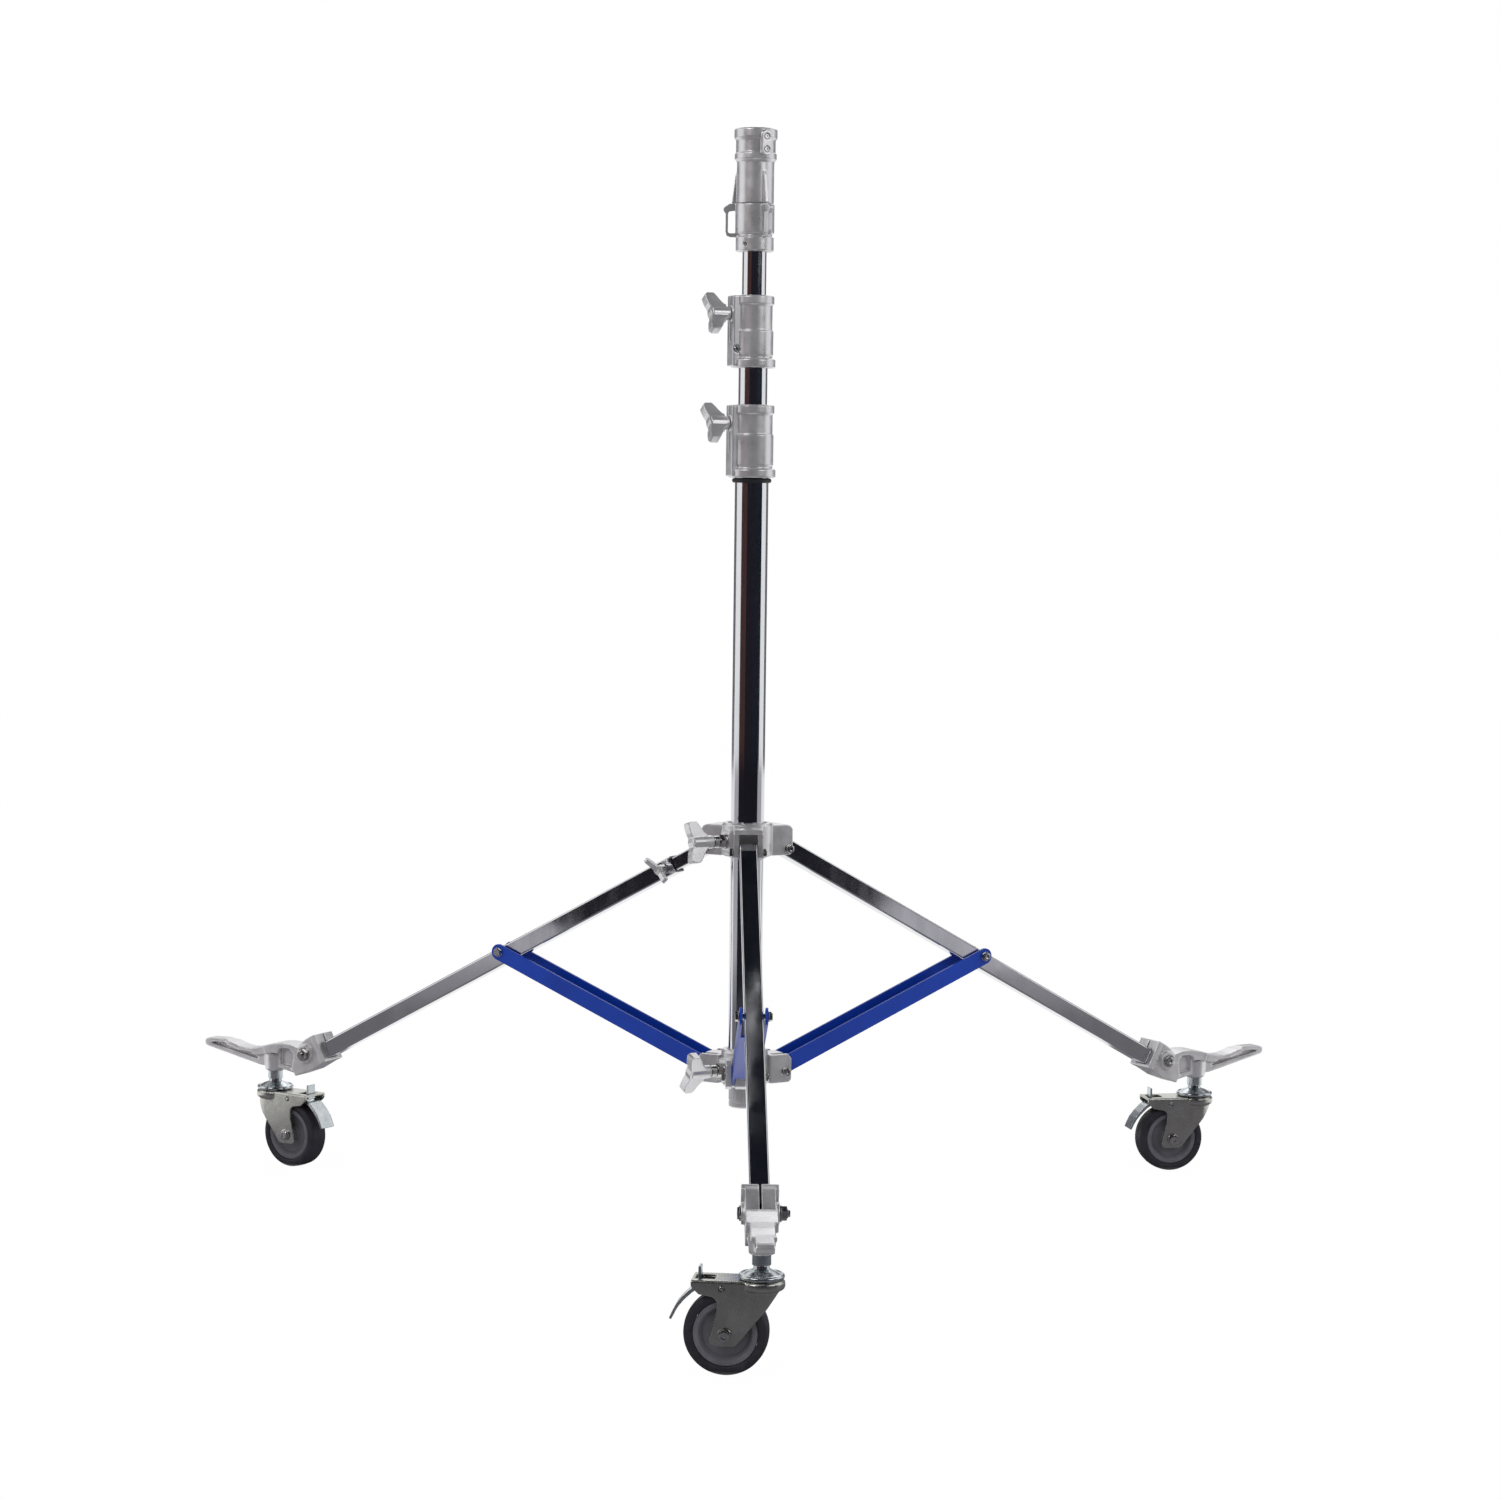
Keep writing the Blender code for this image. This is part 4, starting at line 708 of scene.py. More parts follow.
screw_drops = (9.5 * MM, 22.5 * MM)
solids = [receiver_shape, moved(screw_boss, boss_turn)]
cuts = []
for drop in screw_drops:
    cuts.append(moved(along_x(drum(3.1 * MM, band + 1.8 * MM, band + 8 * MM, 32)),
                      shift(z=head_top - drop), boss_turn))
for number in range(3):
    taper = [(barrel_radius - 3 * MM, head_low), (barrel_radius + 5 * MM, head_low),
             (barrel_radius + 3.6 * MM, head_low + 10 * MM),
             (barrel_radius + 1.5 * MM, head_low + 28 * MM),
             (barrel_radius - 3 * MM, head_low + 42 * MM)]
    rib = plate(taper, 2.1 * MM)
    solids.append(moved(rib, turn(math.radians(60 + 120 * number))))
receiver_mesh = carved(solids, cuts, 0.55 * MM, 3, 0.45)
cast_piece("spigot_receiver", moved(receiver_mesh, around_mast()), "riser_2", "receiver_barrel")
for number, drop in enumerate(screw_drops):
    screw = moved(along_x(socket_screw(2.7 * MM, band, band + 2.6 * MM)),
                  shift(z=head_top - drop), boss_turn, around_mast())
    steel_piece(f"receiver_screw_{number + 1}", screw, "riser_2")
print("receiver height in mm:", round((head_top - head_low) / MM, 1))

# %% [markdown]
# Under the head sits a collar with three D-shaped loops for guy lines, cast in one with it.
# Each loop is a thin fin with a window cut through it, and a small screw holds the collar.

# %% Loop collar
loop_low, loop_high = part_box("guy_collar")
low, top = loop_low.z, loop_high.z
collar_radius = 20 * MM
fin_reach = max(loop_high.x, -loop_low.x)
riser_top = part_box("riser_2_tube")[1].z
riser_bore = 12.8 * MM
sleeve = turned([
    (riser_bore, low), (collar_radius - 1.4 * MM, low), (collar_radius - 0.4 * MM, low + 1 * MM),
    (collar_radius - 0.4 * MM, low + 14 * MM), (17.7 * MM, low + 15.6 * MM),
    (17.7 * MM, low + 17.2 * MM), (collar_radius, low + 19 * MM),
    (collar_radius, top - 1.2 * MM), (collar_radius - 0.8 * MM, top - 0.4 * MM),
    (collar_radius - 0.8 * MM, top), (0, top), (0, riser_top + 0.3 * MM),
    (riser_bore, riser_top + 0.3 * MM)])
window_low = low + 18.5 * MM
window_high = window_low + 23 * MM
inner = collar_radius - 5 * MM
rail = 2.6 * MM
fin = [(inner, top), (fin_reach - 6 * MM, top), (fin_reach, window_high + 3 * MM),
       (fin_reach, window_high), (fin_reach - 2.2 * MM, window_high - 3 * MM),
       (fin_reach - 2.2 * MM, window_low + 2 * MM), (fin_reach - 3.4 * MM, window_low - 2.6 * MM),
       (fin_reach - 7 * MM, window_low - 4 * MM), (inner, window_low - 4 * MM)]
window = [(collar_radius + 0.2 * MM, window_low),
          (fin_reach - 2.2 * MM - rail - 1 * MM, window_low),
          (fin_reach - 2.2 * MM - rail, window_low + 2 * MM),
          (fin_reach - 2.2 * MM - rail, window_high - 3 * MM),
          (fin_reach - 5.6 * MM, window_high - 1 * MM), (collar_radius + 0.2 * MM, window_high)]
solids, cuts = [sleeve], []
for number in range(3):
    fin_turn = turn(math.radians(60 + 120 * number))
    solids.append(moved(plate(fin, 2.1 * MM), fin_turn))
    cuts.append(moved(plate(window, 4 * MM), fin_turn))
set_screw_turn = turn(math.radians(238))
cuts.append(moved(along_x(drum(2.2 * MM, 18 * MM, 25 * MM, 24)), shift(z=low + 7 * MM),
                  set_screw_turn))
loop_mesh = carved(solids, cuts, 0.5 * MM, 3, 0.45)
cast_piece("guy_line_loop_collar", moved(loop_mesh, around_mast()), "riser_2", "guy_collar")
grub = moved(along_x(socket_screw(2.0 * MM, 17 * MM, 18.8 * MM)), shift(z=low + 7 * MM),
             set_screw_turn, around_mast())
steel_piece("loop_collar_set_screw", grub, "riser_2")
print("fin reach in mm:", round(fin_reach / MM, 1))

# %% [markdown]
# A spider is a hub round the mast with three slotted arms. The upper one carries the legs
# and slides on the mast when the base folds. Each arm has one wide slot for a leg, and a
# lug between two arms takes the clamping handle.

# %% Upper spider
LEG_SIZE = 18.5 * MM
UPPER = Vector((42 * MM, 0, 395.5 * MM))
MIDDLE = Vector((298 * MM, 0, 266 * MM))
LOWER = Vector((38 * MM, 0, 161 * MM))
PIN_HOLE = 3.3 * MM


def lug_with_hole(bore, height):
    lug = block((bore + 2 * MM, -10 * MM, height - 12 * MM), (27 * MM, 10 * MM, height + 12 * MM),
                3 * MM, 3)
    hole = moved(along_x(drum(4.3 * MM, bore - 3 * MM, 40 * MM, 24)), shift(z=height))
    at_lug = turn(SPIDER_ANGLE)
    return moved(lug, at_lug), moved(hole, at_lug)


low, top = 389 * MM, 421 * MM
bore = 20.1 * MM
hub = turned([
    (bore, low), (25.2 * MM, low), (26.1 * MM, low + 1 * MM), (26.1 * MM, top + 1.2 * MM),
    (24.6 * MM, top + 3 * MM), (bore + 1 * MM, top + 3 * MM), (bore, top + 2 * MM)])
lug, hole = lug_with_hole(bore, (low + top) / 2)
solids, cuts = [hub], []
for angle in SIDES.values():
    arm = [(bore + 2 * MM, low), (44 * MM, low), (47 * MM, low + 2.5 * MM), (47 * MM, top - 5 * MM),
           (44.5 * MM, top - 1.6 * MM), (40 * MM, top), (bore + 2 * MM, top)]
    solids.append(moved(plate(arm, 15 * MM), turn(angle)))
for angle in SIDES.values():
    slot = block((31.15 * MM, -9.7 * MM, low - 5 * MM), (60 * MM, 9.7 * MM, top - 6 * MM))
    cuts.append(moved(slot, turn(angle)))
    cuts.append(moved(cross_hole(PIN_HOLE, UPPER), turn(angle)))
upper_shape = carved(solids + [lug], cuts + [hole], 0.6 * MM, 4, 0.45)
cast_piece("upper_leg_spider", moved(upper_shape, around_mast()), "upper_spider",
           "upper_spider")
print("upper spider between", low / MM, "and", top / MM)

# %% [markdown]
# The lower spider is fixed on the mast and carries the braces. A brace's two flanges
# straddle an arm's middle, so each arm has two narrow slots instead of a wide one.

# %% Lower spider
low, top = 147 * MM, 185.5 * MM
arm_low, arm_top = 149.5 * MM, 179.5 * MM
bore = 17.8 * MM
hub = turned([
    (bore, low), (22.3 * MM, low), (24.3 * MM, low + 3 * MM), (24.3 * MM, top - 2 * MM),
    (22.8 * MM, top), (bore + 0.8 * MM, top), (bore, top - 0.8 * MM)])
lug, hole = lug_with_hole(bore, (arm_low + arm_top) / 2)
solids, cuts = [hub, lug], [hole]
for side, angle in SIDES.items():
    arm = [(bore + 2 * MM, arm_low), (42.5 * MM, arm_low), (45.5 * MM, arm_low + 3 * MM),
           (45.5 * MM, arm_top - 5 * MM), (41.5 * MM, arm_top), (bore + 2 * MM, arm_top)]
    solids.append(moved(plate(arm, 20.55 * MM), turn(angle)))
    play = 0.5 * MM if side == "front" else 2.4 * MM
    slot_floor = 27.3 * MM if side == "front" else 24.7 * MM
    slot_box = ((slot_floor, 11.25 * MM - play, arm_low - 5 * MM),
                (60 * MM, 13.75 * MM + play, arm_top + 9 * MM))
    for slot in (mirrored_in_y(block(*slot_box)), block(*slot_box)):
        cuts.append(moved(slot, turn(angle)))
    cuts.append(moved(cross_hole(PIN_HOLE, LOWER), turn(angle)))
lower_shape = carved(solids, cuts, 0.6 * MM, 4, 0.45)
cast_piece("lower_brace_spider", moved(lower_shape, around_mast()), "mast", "lower_spider")
print("lower spider between", low / MM, "and", top / MM)

# %% [markdown]
# Every side has three pivots: leg to upper spider, brace to leg, and brace to lower spider.
# One bolt drawing serves all nine, with the grip between head and nut as its only measure.

# %% Pivot bolts
for side, angle in SIDES.items():
    for name, pivot, half_grip, body, node in (
            ("upper_pivot_bolt", UPPER, 15 * MM, "upper_spider", "upper_pivot_pin"),
            ("middle_pivot_bolt", MIDDLE, 13.75 * MM, f"leg_{side}", None),
            ("lower_pivot_bolt", LOWER, 20.55 * MM, "mast", "lower_pivot_pin")):
        node_name = f"{node}_{side}" if node else f"leg_{side}_pin"
        bolt = moved(bolt_across(half_grip), Matrix.Translation(pivot), around_mast(angle))
        steel_piece(f"{name}_{side}", bolt, body, node_name, 30)
print("pivot bolts: 9")

# %% [markdown]
# The legs are square steel tube. Its corners are rounded by 1.8 mm where the strip was
# rolled, so the outline of the tube is a rounded square, extruded. The upper end is rounded
# off about its pivot, and both pivots are drilled through. The left leg is in two parts.

# %% Square legs
LEG_SLOPE = math.radians(28.07)
LEG_HEIGHT = 397.5 * MM
LEG_END = 542 * MM
SPLIT = 47 * MM
leg_lift = (LEG_HEIGHT - UPPER.z) * math.cos(LEG_SLOPE)
leg_start = UPPER.x + leg_lift * math.sin(LEG_SLOPE)
leg_length = (LEG_END - leg_start) / math.cos(LEG_SLOPE)
leg_in_plane = Matrix.Translation(UPPER) @ turn(LEG_SLOPE, "Y") @ shift(z=leg_lift)


def square_bar(size, start, end, rounding):
    bm = block((start, -size / 2, -size / 2), (end, size / 2, size / 2))
    long_edges = [edge for edge in bm.edges
                  if abs(edge.verts[0].co.x - edge.verts[1].co.x) > 1 * MM]
    round_edges(bm, long_edges, rounding, 5)
    return bm


def square_tube(size, start, end, rounded_end):
    wall = 1.6 * MM
    cuts = [square_bar(size - 2 * wall, start - 1 * MM, end + 1 * MM, 1 * MM)]
    if rounded_end:
        keep = along_y(drum(size / 2, -size, size, 48))
        corner = block((start - 1 * MM, -size, -size), (0, size, size))
        cuts.append(carved([corner], [keep]))
    return carved([square_bar(size, start, end, 1.8 * MM)], cuts)


def pivot_hole(pivot):
    back = leg_in_plane.inverted()
    return moved(cross_hole(PIN_HOLE, pivot, 20 * MM), back)


for side, angle in SIDES.items():
    at_leg = around_mast(angle)
    if side == "left":
        leg = carved([square_tube(LEG_SIZE, SPLIT, leg_length, False)], [pivot_hole(MIDDLE)])
        stub = carved([square_tube(14.4 * MM, -7.2 * MM, SPLIT + 95 * MM, True)],
                      [pivot_hole(UPPER)])
        piece("levelling_inner_tube", moved(stub, leg_in_plane, at_leg), chrome, "leg_left",
              ["leg_left_stub"], 8)
    else:
        leg = carved([square_tube(LEG_SIZE, -LEG_SIZE / 2, leg_length, True)],
                     [pivot_hole(UPPER), pivot_hole(MIDDLE)])
    made = piece(f"square_leg_{side}", moved(leg, leg_in_plane, at_leg), chrome, f"leg_{side}",
                 [f"leg_{side}"], 8)
    print(made.name, "faces:", len(made.data.polygons))

# %% [markdown]
# The left leg is shorter at its top and slides on an inner tube, so that the stand can be
# levelled on a step. A wing screw on its side locks it.

# %% Wing screw of the levelling leg
screw_reach = SPLIT + 12 * MM
left_leg_at = around_mast(SIDES["left"]) @ leg_in_plane
wing = [(9 * MM, 4 * MM), (11 * MM, 11 * MM), (14 * MM, 16 * MM), (18 * MM, 17 * MM),
        (19 * MM, 14 * MM), (15.5 * MM, 5 * MM), (15 * MM, 0)]
wing_boss = along_x(turned([(0, 2 * MM), (5 * MM, 2 * MM), (5.5 * MM, 2.6 * MM),
                            (5.2 * MM, 12 * MM), (4.4 * MM, 13 * MM), (0, 13 * MM)], 32))
wing_shape = carved([plate(with_mirror(wing), 2.6 * MM), wing_boss], [], 0.4 * MM, 4, 0.4)
wing_at = (left_leg_at @ shift(x=screw_reach, y=LEG_SIZE / 2) @ turn(math.radians(90))
           @ turn(math.radians(20), "X"))
cast_piece("levelling_wing_screw", moved(wing_shape, wing_at), "wing_screw", "wing_screw")
stem_screw = along_x(threaded(3 * MM, -1.8 * MM, 3 * MM, 1 * MM))
steel_piece("levelling_screw_thread", moved(stem_screw, wing_at), "wing_screw")
print("wing screw at", [round(value, 3) for value in wing_at.translation])

# %% [markdown]
# A brace is a steel channel, pressed from sheet with its open side up, with its web cut
# back at both ends so that the two flanges straddle the leg and the spider. The bends of
# the channel are rounded by 2.4 mm outside.

# %% Braces
BRACE_SLOPE = math.radians(21.14)
brace_in_plane = Matrix.Translation((51.7 * MM, 0, 170.4 * MM)) @ turn(-BRACE_SLOPE, "Y")
brace_back = brace_in_plane.inverted()
near, far = brace_back @ LOWER, brace_back @ MIDDLE
half, width, gauge = 9 * MM, 13.75 * MM, 2.5 * MM
inner = width - gauge


def arc(centre, radius, start, end, steps):
    return [(centre[0] + radius * math.cos(math.radians(start + (end - start) * step / steps)),
             centre[1] + radius * math.sin(math.radians(start + (end - start) * step / steps)))
            for step in range(steps + 1)]


def brace_mesh(open_pivot):
    eye = 9.3 * MM if open_pivot else half - abs(near.z) + 3 * MM
    outline = [(near.x + half + 3 * MM, half)] + arc((near.x, near.z), eye, 112, 248, 12)
    outline += [(near.x + half + 3 * MM, -half)]
    outline += arc((far.x, far.z), half - abs(far.z), -90, 90, 14)
    shell = plate(outline, width)
    bends = [edge for edge in shell.edges if edge.calc_length() > 100 * MM
             and edge.verts[0].co.z < 0]
    round_edges(shell, bends, 2.4 * MM, 5)
    trough = block((near.x - 30 * MM, -inner, -half + gauge),
                   (far.x + 30 * MM, inner, half + 5 * MM))
    floor_bends = [edge for edge in trough.edges if edge.calc_length() > 100 * MM
                   and edge.verts[0].co.z < 0]
    round_edges(trough, floor_bends, 1.2 * MM, 3)
    cuts = [trough,
            block((near.x - 30 * MM, -inner, -20 * MM), (near.x + 20 * MM, inner, half)),
            block((far.x - 56 * MM, -inner, -20 * MM), (far.x + 30 * MM, inner, half))]
    for pivot, radius in ((near, 7.3 * MM if open_pivot else PIN_HOLE), (far, PIN_HOLE)):
        cuts.append(cross_hole(radius, pivot, 20 * MM, 32))
    return carved([shell], cuts)


for side, angle in SIDES.items():
    shape = moved(brace_mesh(side != "front"), brace_in_plane, around_mast(angle))
    made = piece(f"channel_brace_{side}", shape, blue_coat, f"brace_{side}", [f"brace_{side}"],
                 30)
    print(made.name, "faces:", len(made.data.polygons))

# %% [markdown]
# Each foot is one casting: a split clamp on the leg's end, a boss for the caster's stem, and
# a lever with a ribbed web that is pushed down to lift the leg. The foot is drawn in the
# leg's side plane as a body, a wider clamp with ears, a pad on the lever and a boss, fused
# and then softened. Outlines are in millimetres from the stem's axis and the boss's foot.

# %% Feet
CASTER_REACH = 606 * MM
BOSS_LOW = 107 * MM
TIP = 94
CLAMP_BOLT_AT = Vector((554 * MM, 0, 131 * MM))


def foot_points(offsets):
    return [(CASTER_REACH + reach * MM, BOSS_LOW + rise * MM) for reach, rise in offsets]


def leg_line(reach):
    return LEG_HEIGHT - (reach - UPPER.x) * math.tan(LEG_SLOPE)


def foot_mesh():
    across = Vector((math.sin(LEG_SLOPE), 0, math.cos(LEG_SLOPE)))
    mouth = Vector((531 * MM, 0, leg_line(531 * MM)))
    mouth_top, mouth_low = mouth + across * 20 * MM, mouth - across * 12.5 * MM
    body = plate(foot_points([
        (-48, 5), (-35, -1), (-14, 3), (16, 5), (TIP - 4, 20), (TIP - 1, 21.5), (TIP, 25),
        (TIP - 1.4, 28), (TIP - 6, 29.6), (TIP - 28, 30), (56, 27.4), (44, 23.6), (35, 22.4),
        (27, 22.6), (16, 25.2), (5, 28.5), (-7, 31.4), (-18, 32.6), (-29, 32.2), (-38, 30),
        (-45, 25)]), 8 * MM)
    clamp = plate([(mouth_low.x, mouth_low.z)]
                  + foot_points([(-58, 5), (-37.5, -2.5), (-32, 5), (-36, 26), (-50, 40)])
                  + [(mouth_top.x + 8 * MM, mouth_top.z - 3 * MM), (mouth_top.x, mouth_top.z)],
                  13.6 * MM)
    lip_top, lip_low = mouth + across * 20.4 * MM, mouth - across * 12.6 * MM
    lip_step = Vector((math.cos(LEG_SLOPE), 0, -math.sin(LEG_SLOPE))) * 7 * MM
    lip = plate([(lip_low.x, lip_low.z), ((lip_low + lip_step).x, (lip_low + lip_step).z),
                 ((lip_top + lip_step).x, (lip_top + lip_step).z), (lip_top.x, lip_top.z)],
                16.8 * MM)
    ears = cross_hole(10 * MM, CLAMP_BOLT_AT, 17 * MM, 40)
    shoulder = plate(foot_points([(-40, -1), (-30, 2), (-26, 12), (-32, 26), (-44, 30)]), 12 * MM)
    pad = plate(foot_points([(-46, 16), (-30, 21), (-7, 21), (5, 19), (8, 27.6), (5, 28.8),
                             (-7, 31.8), (-18, 33), (-29, 32.6), (-38, 30.4), (-46, 25)]),
                14.2 * MM)
    pad_tail = plate(foot_points([(0, 19), (16, 16), (40, 16.5), (60, 20), (62, 28.4), (56, 27.7),
                                  (44, 24), (35, 22.8), (27, 23), (16, 25.6), (5, 28.8)]),
                     11 * MM)
    boss = moved(turned([(0, BOSS_LOW), (10.5 * MM, BOSS_LOW), (11.5 * MM, BOSS_LOW + 1 * MM),
                         (12.5 * MM, 126 * MM), (0, 126 * MM)], 40), shift(x=CASTER_REACH))
    at_mouth = shift(x=mouth.x, z=mouth.z) @ turn(LEG_SLOPE, "Y")
    depth = (LEG_END - mouth.x) / math.cos(LEG_SLOPE) + 0.3 * MM
    socket = LEG_SIZE / 2 + 0.3 * MM
    cuts = [
        moved(block((-10 * MM, -socket, -socket), (depth, socket, socket)), at_mouth),
        moved(block((-10 * MM, -1 * MM, 0), (36 * MM, 1 * MM, 40 * MM)), at_mouth),
        moved(drum(5.3 * MM, BOSS_LOW - 5 * MM, 125 * MM, 24), shift(x=CASTER_REACH)),
        cross_hole(PIN_HOLE, CLAMP_BOLT_AT),
    ]
    recess = foot_points([(17, 11), (TIP - 9, 23.5), (TIP - 9, 25), (TIP - 27, 26), (45, 19.5),
                          (26, 18.5)])
    flank = foot_points([(-31, 6), (-14, 7.4), (-13, 14), (-14, 25), (-20, 28), (-30, 27.6),
                         (-35, 22)])
    for sign in (-1, 1):
        for pocket, web in ((recess, 2.5 * MM), (flank, 4.5 * MM)):
            cuts.append(moved(plate(pocket, 6 * MM), shift(y=sign * (web + 6 * MM))))
    return carved([body, clamp, lip, ears, shoulder, pad, pad_tail, boss], cuts, 0.7 * MM, 3, 0.4)


foot_shape = foot_mesh()
print("foot triangles:", len(foot_shape.faces))
foot_bolt = moved(clamp_bolt(17 * MM), Matrix.Translation(CLAMP_BOLT_AT))
for side, angle in SIDES.items():
    cast_piece(f"cast_foot_{side}", copy_of(foot_shape, around_mast(angle)), f"leg_{side}",
               f"foot_{side}")
    steel_piece(f"foot_clamp_bolt_{side}", copy_of(foot_bolt, around_mast(angle)),
                f"leg_{side}", f"foot_{side}_bolt", 30)
foot_shape.free()
foot_bolt.free()

# %% [markdown]
# A caster has a stem with a rolled cap over its ball race, a pressed fork, an axle bolt, a
# wheel, and a brake pedal that a rivet holds between the fork's cheeks. Each is drawn once
# with the stem on the z axis and the wheel trailing along x, then copied to the three feet.

# %% Caster shapes
WHEEL_RADIUS = 37.5 * MM
TRAIL = 30 * MM
FORK_GAP = 28 * MM
GAUGE = 2.5 * MM
FORK_TOP = 85 * MM
TAIL = 60 * MM
CHEEK = FORK_GAP / 2 + GAUGE
PEDAL_PIVOT = Vector((33 * MM, 0, 78.4 * MM))


def stem_mesh():
    base = FORK_TOP + 0.3 * MM
    profile = [(0, base), (17.8 * MM, base)]
    profile += arc((18.2 * MM, base + 2.3 * MM), 2.3 * MM, -80, 90, 8)
    profile += [(17.0 * MM, base + 4.1 * MM), (15.4 * MM, base + 4.6 * MM),
                (13.0 * MM, base + 6.4 * MM), (9.6 * MM, base + 7.4 * MM),
                (7.4 * MM, base + 8.6 * MM), (6.8 * MM, base + 11.4 * MM),
                (8.0 * MM, base + 11.8 * MM), (8.4 * MM, base + 12.4 * MM),
                (8.4 * MM, 106.1 * MM), (7.8 * MM, 106.7 * MM), (5 * MM, 106.7 * MM),
                (5 * MM, 124 * MM), (0, 124 * MM)]
    return turned(profile, 64)


def nose_corners(radius):
    """What to cut off beside the fork's round nose, where the sheet wraps round the race."""
    outline = arc((-1.5 * MM, 0), radius, 90, 180, 14)
    outline += [(-30 * MM, 0), (-30 * MM, 30 * MM), (-1.5 * MM, 30 * MM)]
    corner = moved(plate(outline, 100 * MM), turn(math.radians(90), "X"))
    mirrored = moved(corner.copy(), Matrix.Scale(-1, 4, (0, 1, 0)))
    bmesh.ops.reverse_faces(mirrored, faces=mirrored.faces)
    return [corner, mirrored]


def fork_mesh():
    bottom = WHEEL_RADIUS - 10 * MM
    cheek = [(-18 * MM, FORK_TOP), (-18 * MM, FORK_TOP - 7 * MM), (-6.5 * MM, 61 * MM)]
    cheek += arc((TRAIL - 7 * MM, bottom + 5 * MM), 5 * MM, 220, 270, 5)
    cheek += arc((TRAIL + 8.5 * MM, bottom + 5 * MM), 5 * MM, 270, 350, 6)
    cheek += [(TRAIL + 10 * MM, 45 * MM), (TRAIL + 7.4 * MM, 57 * MM)]
    cheek += arc((TRAIL + 14 * MM, 64 * MM), 7 * MM, 175, 110, 5)
    cheek += [(TAIL - 7 * MM, 72.6 * MM), (TAIL - 1 * MM, 78 * MM), (TAIL, FORK_TOP - 5 * MM),
              (TAIL, FORK_TOP)]
    shell = carved([plate(cheek, CHEEK)], nose_corners(CHEEK))
    folds = [edge for edge in shell.edges
             if all(vert.co.z > FORK_TOP - 1e-6 for vert in edge.verts)
             and abs(edge.verts[0].co.y - edge.verts[1].co.y) < 1e-6]
    round_edges(shell, folds, 3.4 * MM, 5)
    race = turned([
        (0, FORK_TOP - 9 * MM), (19 * MM, FORK_TOP - 9 * MM), (20.4 * MM, FORK_TOP - 7.6 * MM),
        (21 * MM, FORK_TOP - 5.6 * MM), (20.8 * MM, FORK_TOP - 2 * MM),
        (19.4 * MM, FORK_TOP - 0.4 * MM), (18.6 * MM, FORK_TOP), (0, FORK_TOP)], 64)
    roof = FORK_TOP - GAUGE
    hollow = [(-20 * MM, 0), (-20 * MM, 59.6 * MM), (-2.6 * MM, 59.6 * MM),
              (-15.4 * MM, FORK_TOP - 6.4 * MM), (-15.4 * MM, roof), (TAIL + 5 * MM, roof),
              (TAIL + 5 * MM, 0)]
    inside = carved([plate(hollow, FORK_GAP / 2)], nose_corners(FORK_GAP / 2))
    below = block((-30 * MM, -FORK_GAP / 2, 0), (TAIL + 5 * MM, FORK_GAP / 2, 59.6 * MM))
    cuts = [
        inside, below,
        block((TAIL - 20 * MM, -8 * MM, roof - 5 * MM),
              (TAIL - 3.2 * MM, 8 * MM, FORK_TOP + 5 * MM)),
        cross_hole(4.3 * MM, (TRAIL, 0, WHEEL_RADIUS), segments=32),
        cross_hole(2.5 * MM, PEDAL_PIVOT),
    ]
    return carved([shell, race], cuts, 0.55 * MM, 5, 0.35)


def tyre_mesh():
    """Crowned tread with round shoulders; the spin is round z, then it is laid along y."""
    rim, side = 29 * MM, 12 * MM
    section = [(rim, -side + 1 * MM), (rim + 1.2 * MM, -side), (33.4 * MM, -side + 0.1 * MM)]
    section += arc((33.2 * MM, -side + 3.9 * MM), 3.8 * MM, -60, 12, 6)
    section += [(37.4 * MM, -3.6 * MM), (WHEEL_RADIUS, 0)]
    mirrored = [(radius, -height) for radius, height in reversed(section[:-1])]
    return along_y(turned(section + mirrored, 96))


def hub_mesh():
    rim = 28.7 * MM
    half_section = [
        (4.3 * MM, 13.7 * MM), (7.6 * MM, 13.7 * MM), (8.4 * MM, 12.9 * MM), (9 * MM, 6.4 * MM),
        (10.4 * MM, 5.2 * MM), (18.6 * MM, 5 * MM), (20.4 * MM, 5.8 * MM), (22.4 * MM, 9 * MM),
        (24 * MM, 10.6 * MM), (26 * MM, 11 * MM), (rim - 0.6 * MM, 10.8 * MM), (rim, 10.2 * MM)]
    mirrored = [(radius, -height) for radius, height in reversed(half_section)]
    return along_y(turned(half_section + mirrored, 80))


def axle_mesh():
    """Axle with a round riveted head on one side and a lock nut on the other."""
    seat = CHEEK + 0.3 * MM
    head = turned([(0, seat), (6.3 * MM, seat), (6.3 * MM, seat + 0.9 * MM),
                   (5.4 * MM, seat + 1.1 * MM), (5.2 * MM, seat + 2.6 * MM),
                   (4.6 * MM, seat + 3.1 * MM), (2.6 * MM, seat + 3.2 * MM),
                   (2.2 * MM, seat + 2.6 * MM), (0, seat + 2.5 * MM)], 40)
    nut = hexagon(6.3 * MM, seat + 0.9 * MM, seat + 4.6 * MM, 3 * MM)
    parts = [drum(4 * MM, -seat - 0.5 * MM, seat + 0.5 * MM, 32), head,
             moved(washer(6.4 * MM, seat, seat + 1 * MM), turn(math.pi, "X")),
             moved(nut, turn(math.pi, "X"))]
    return along_y(joined(*parts))


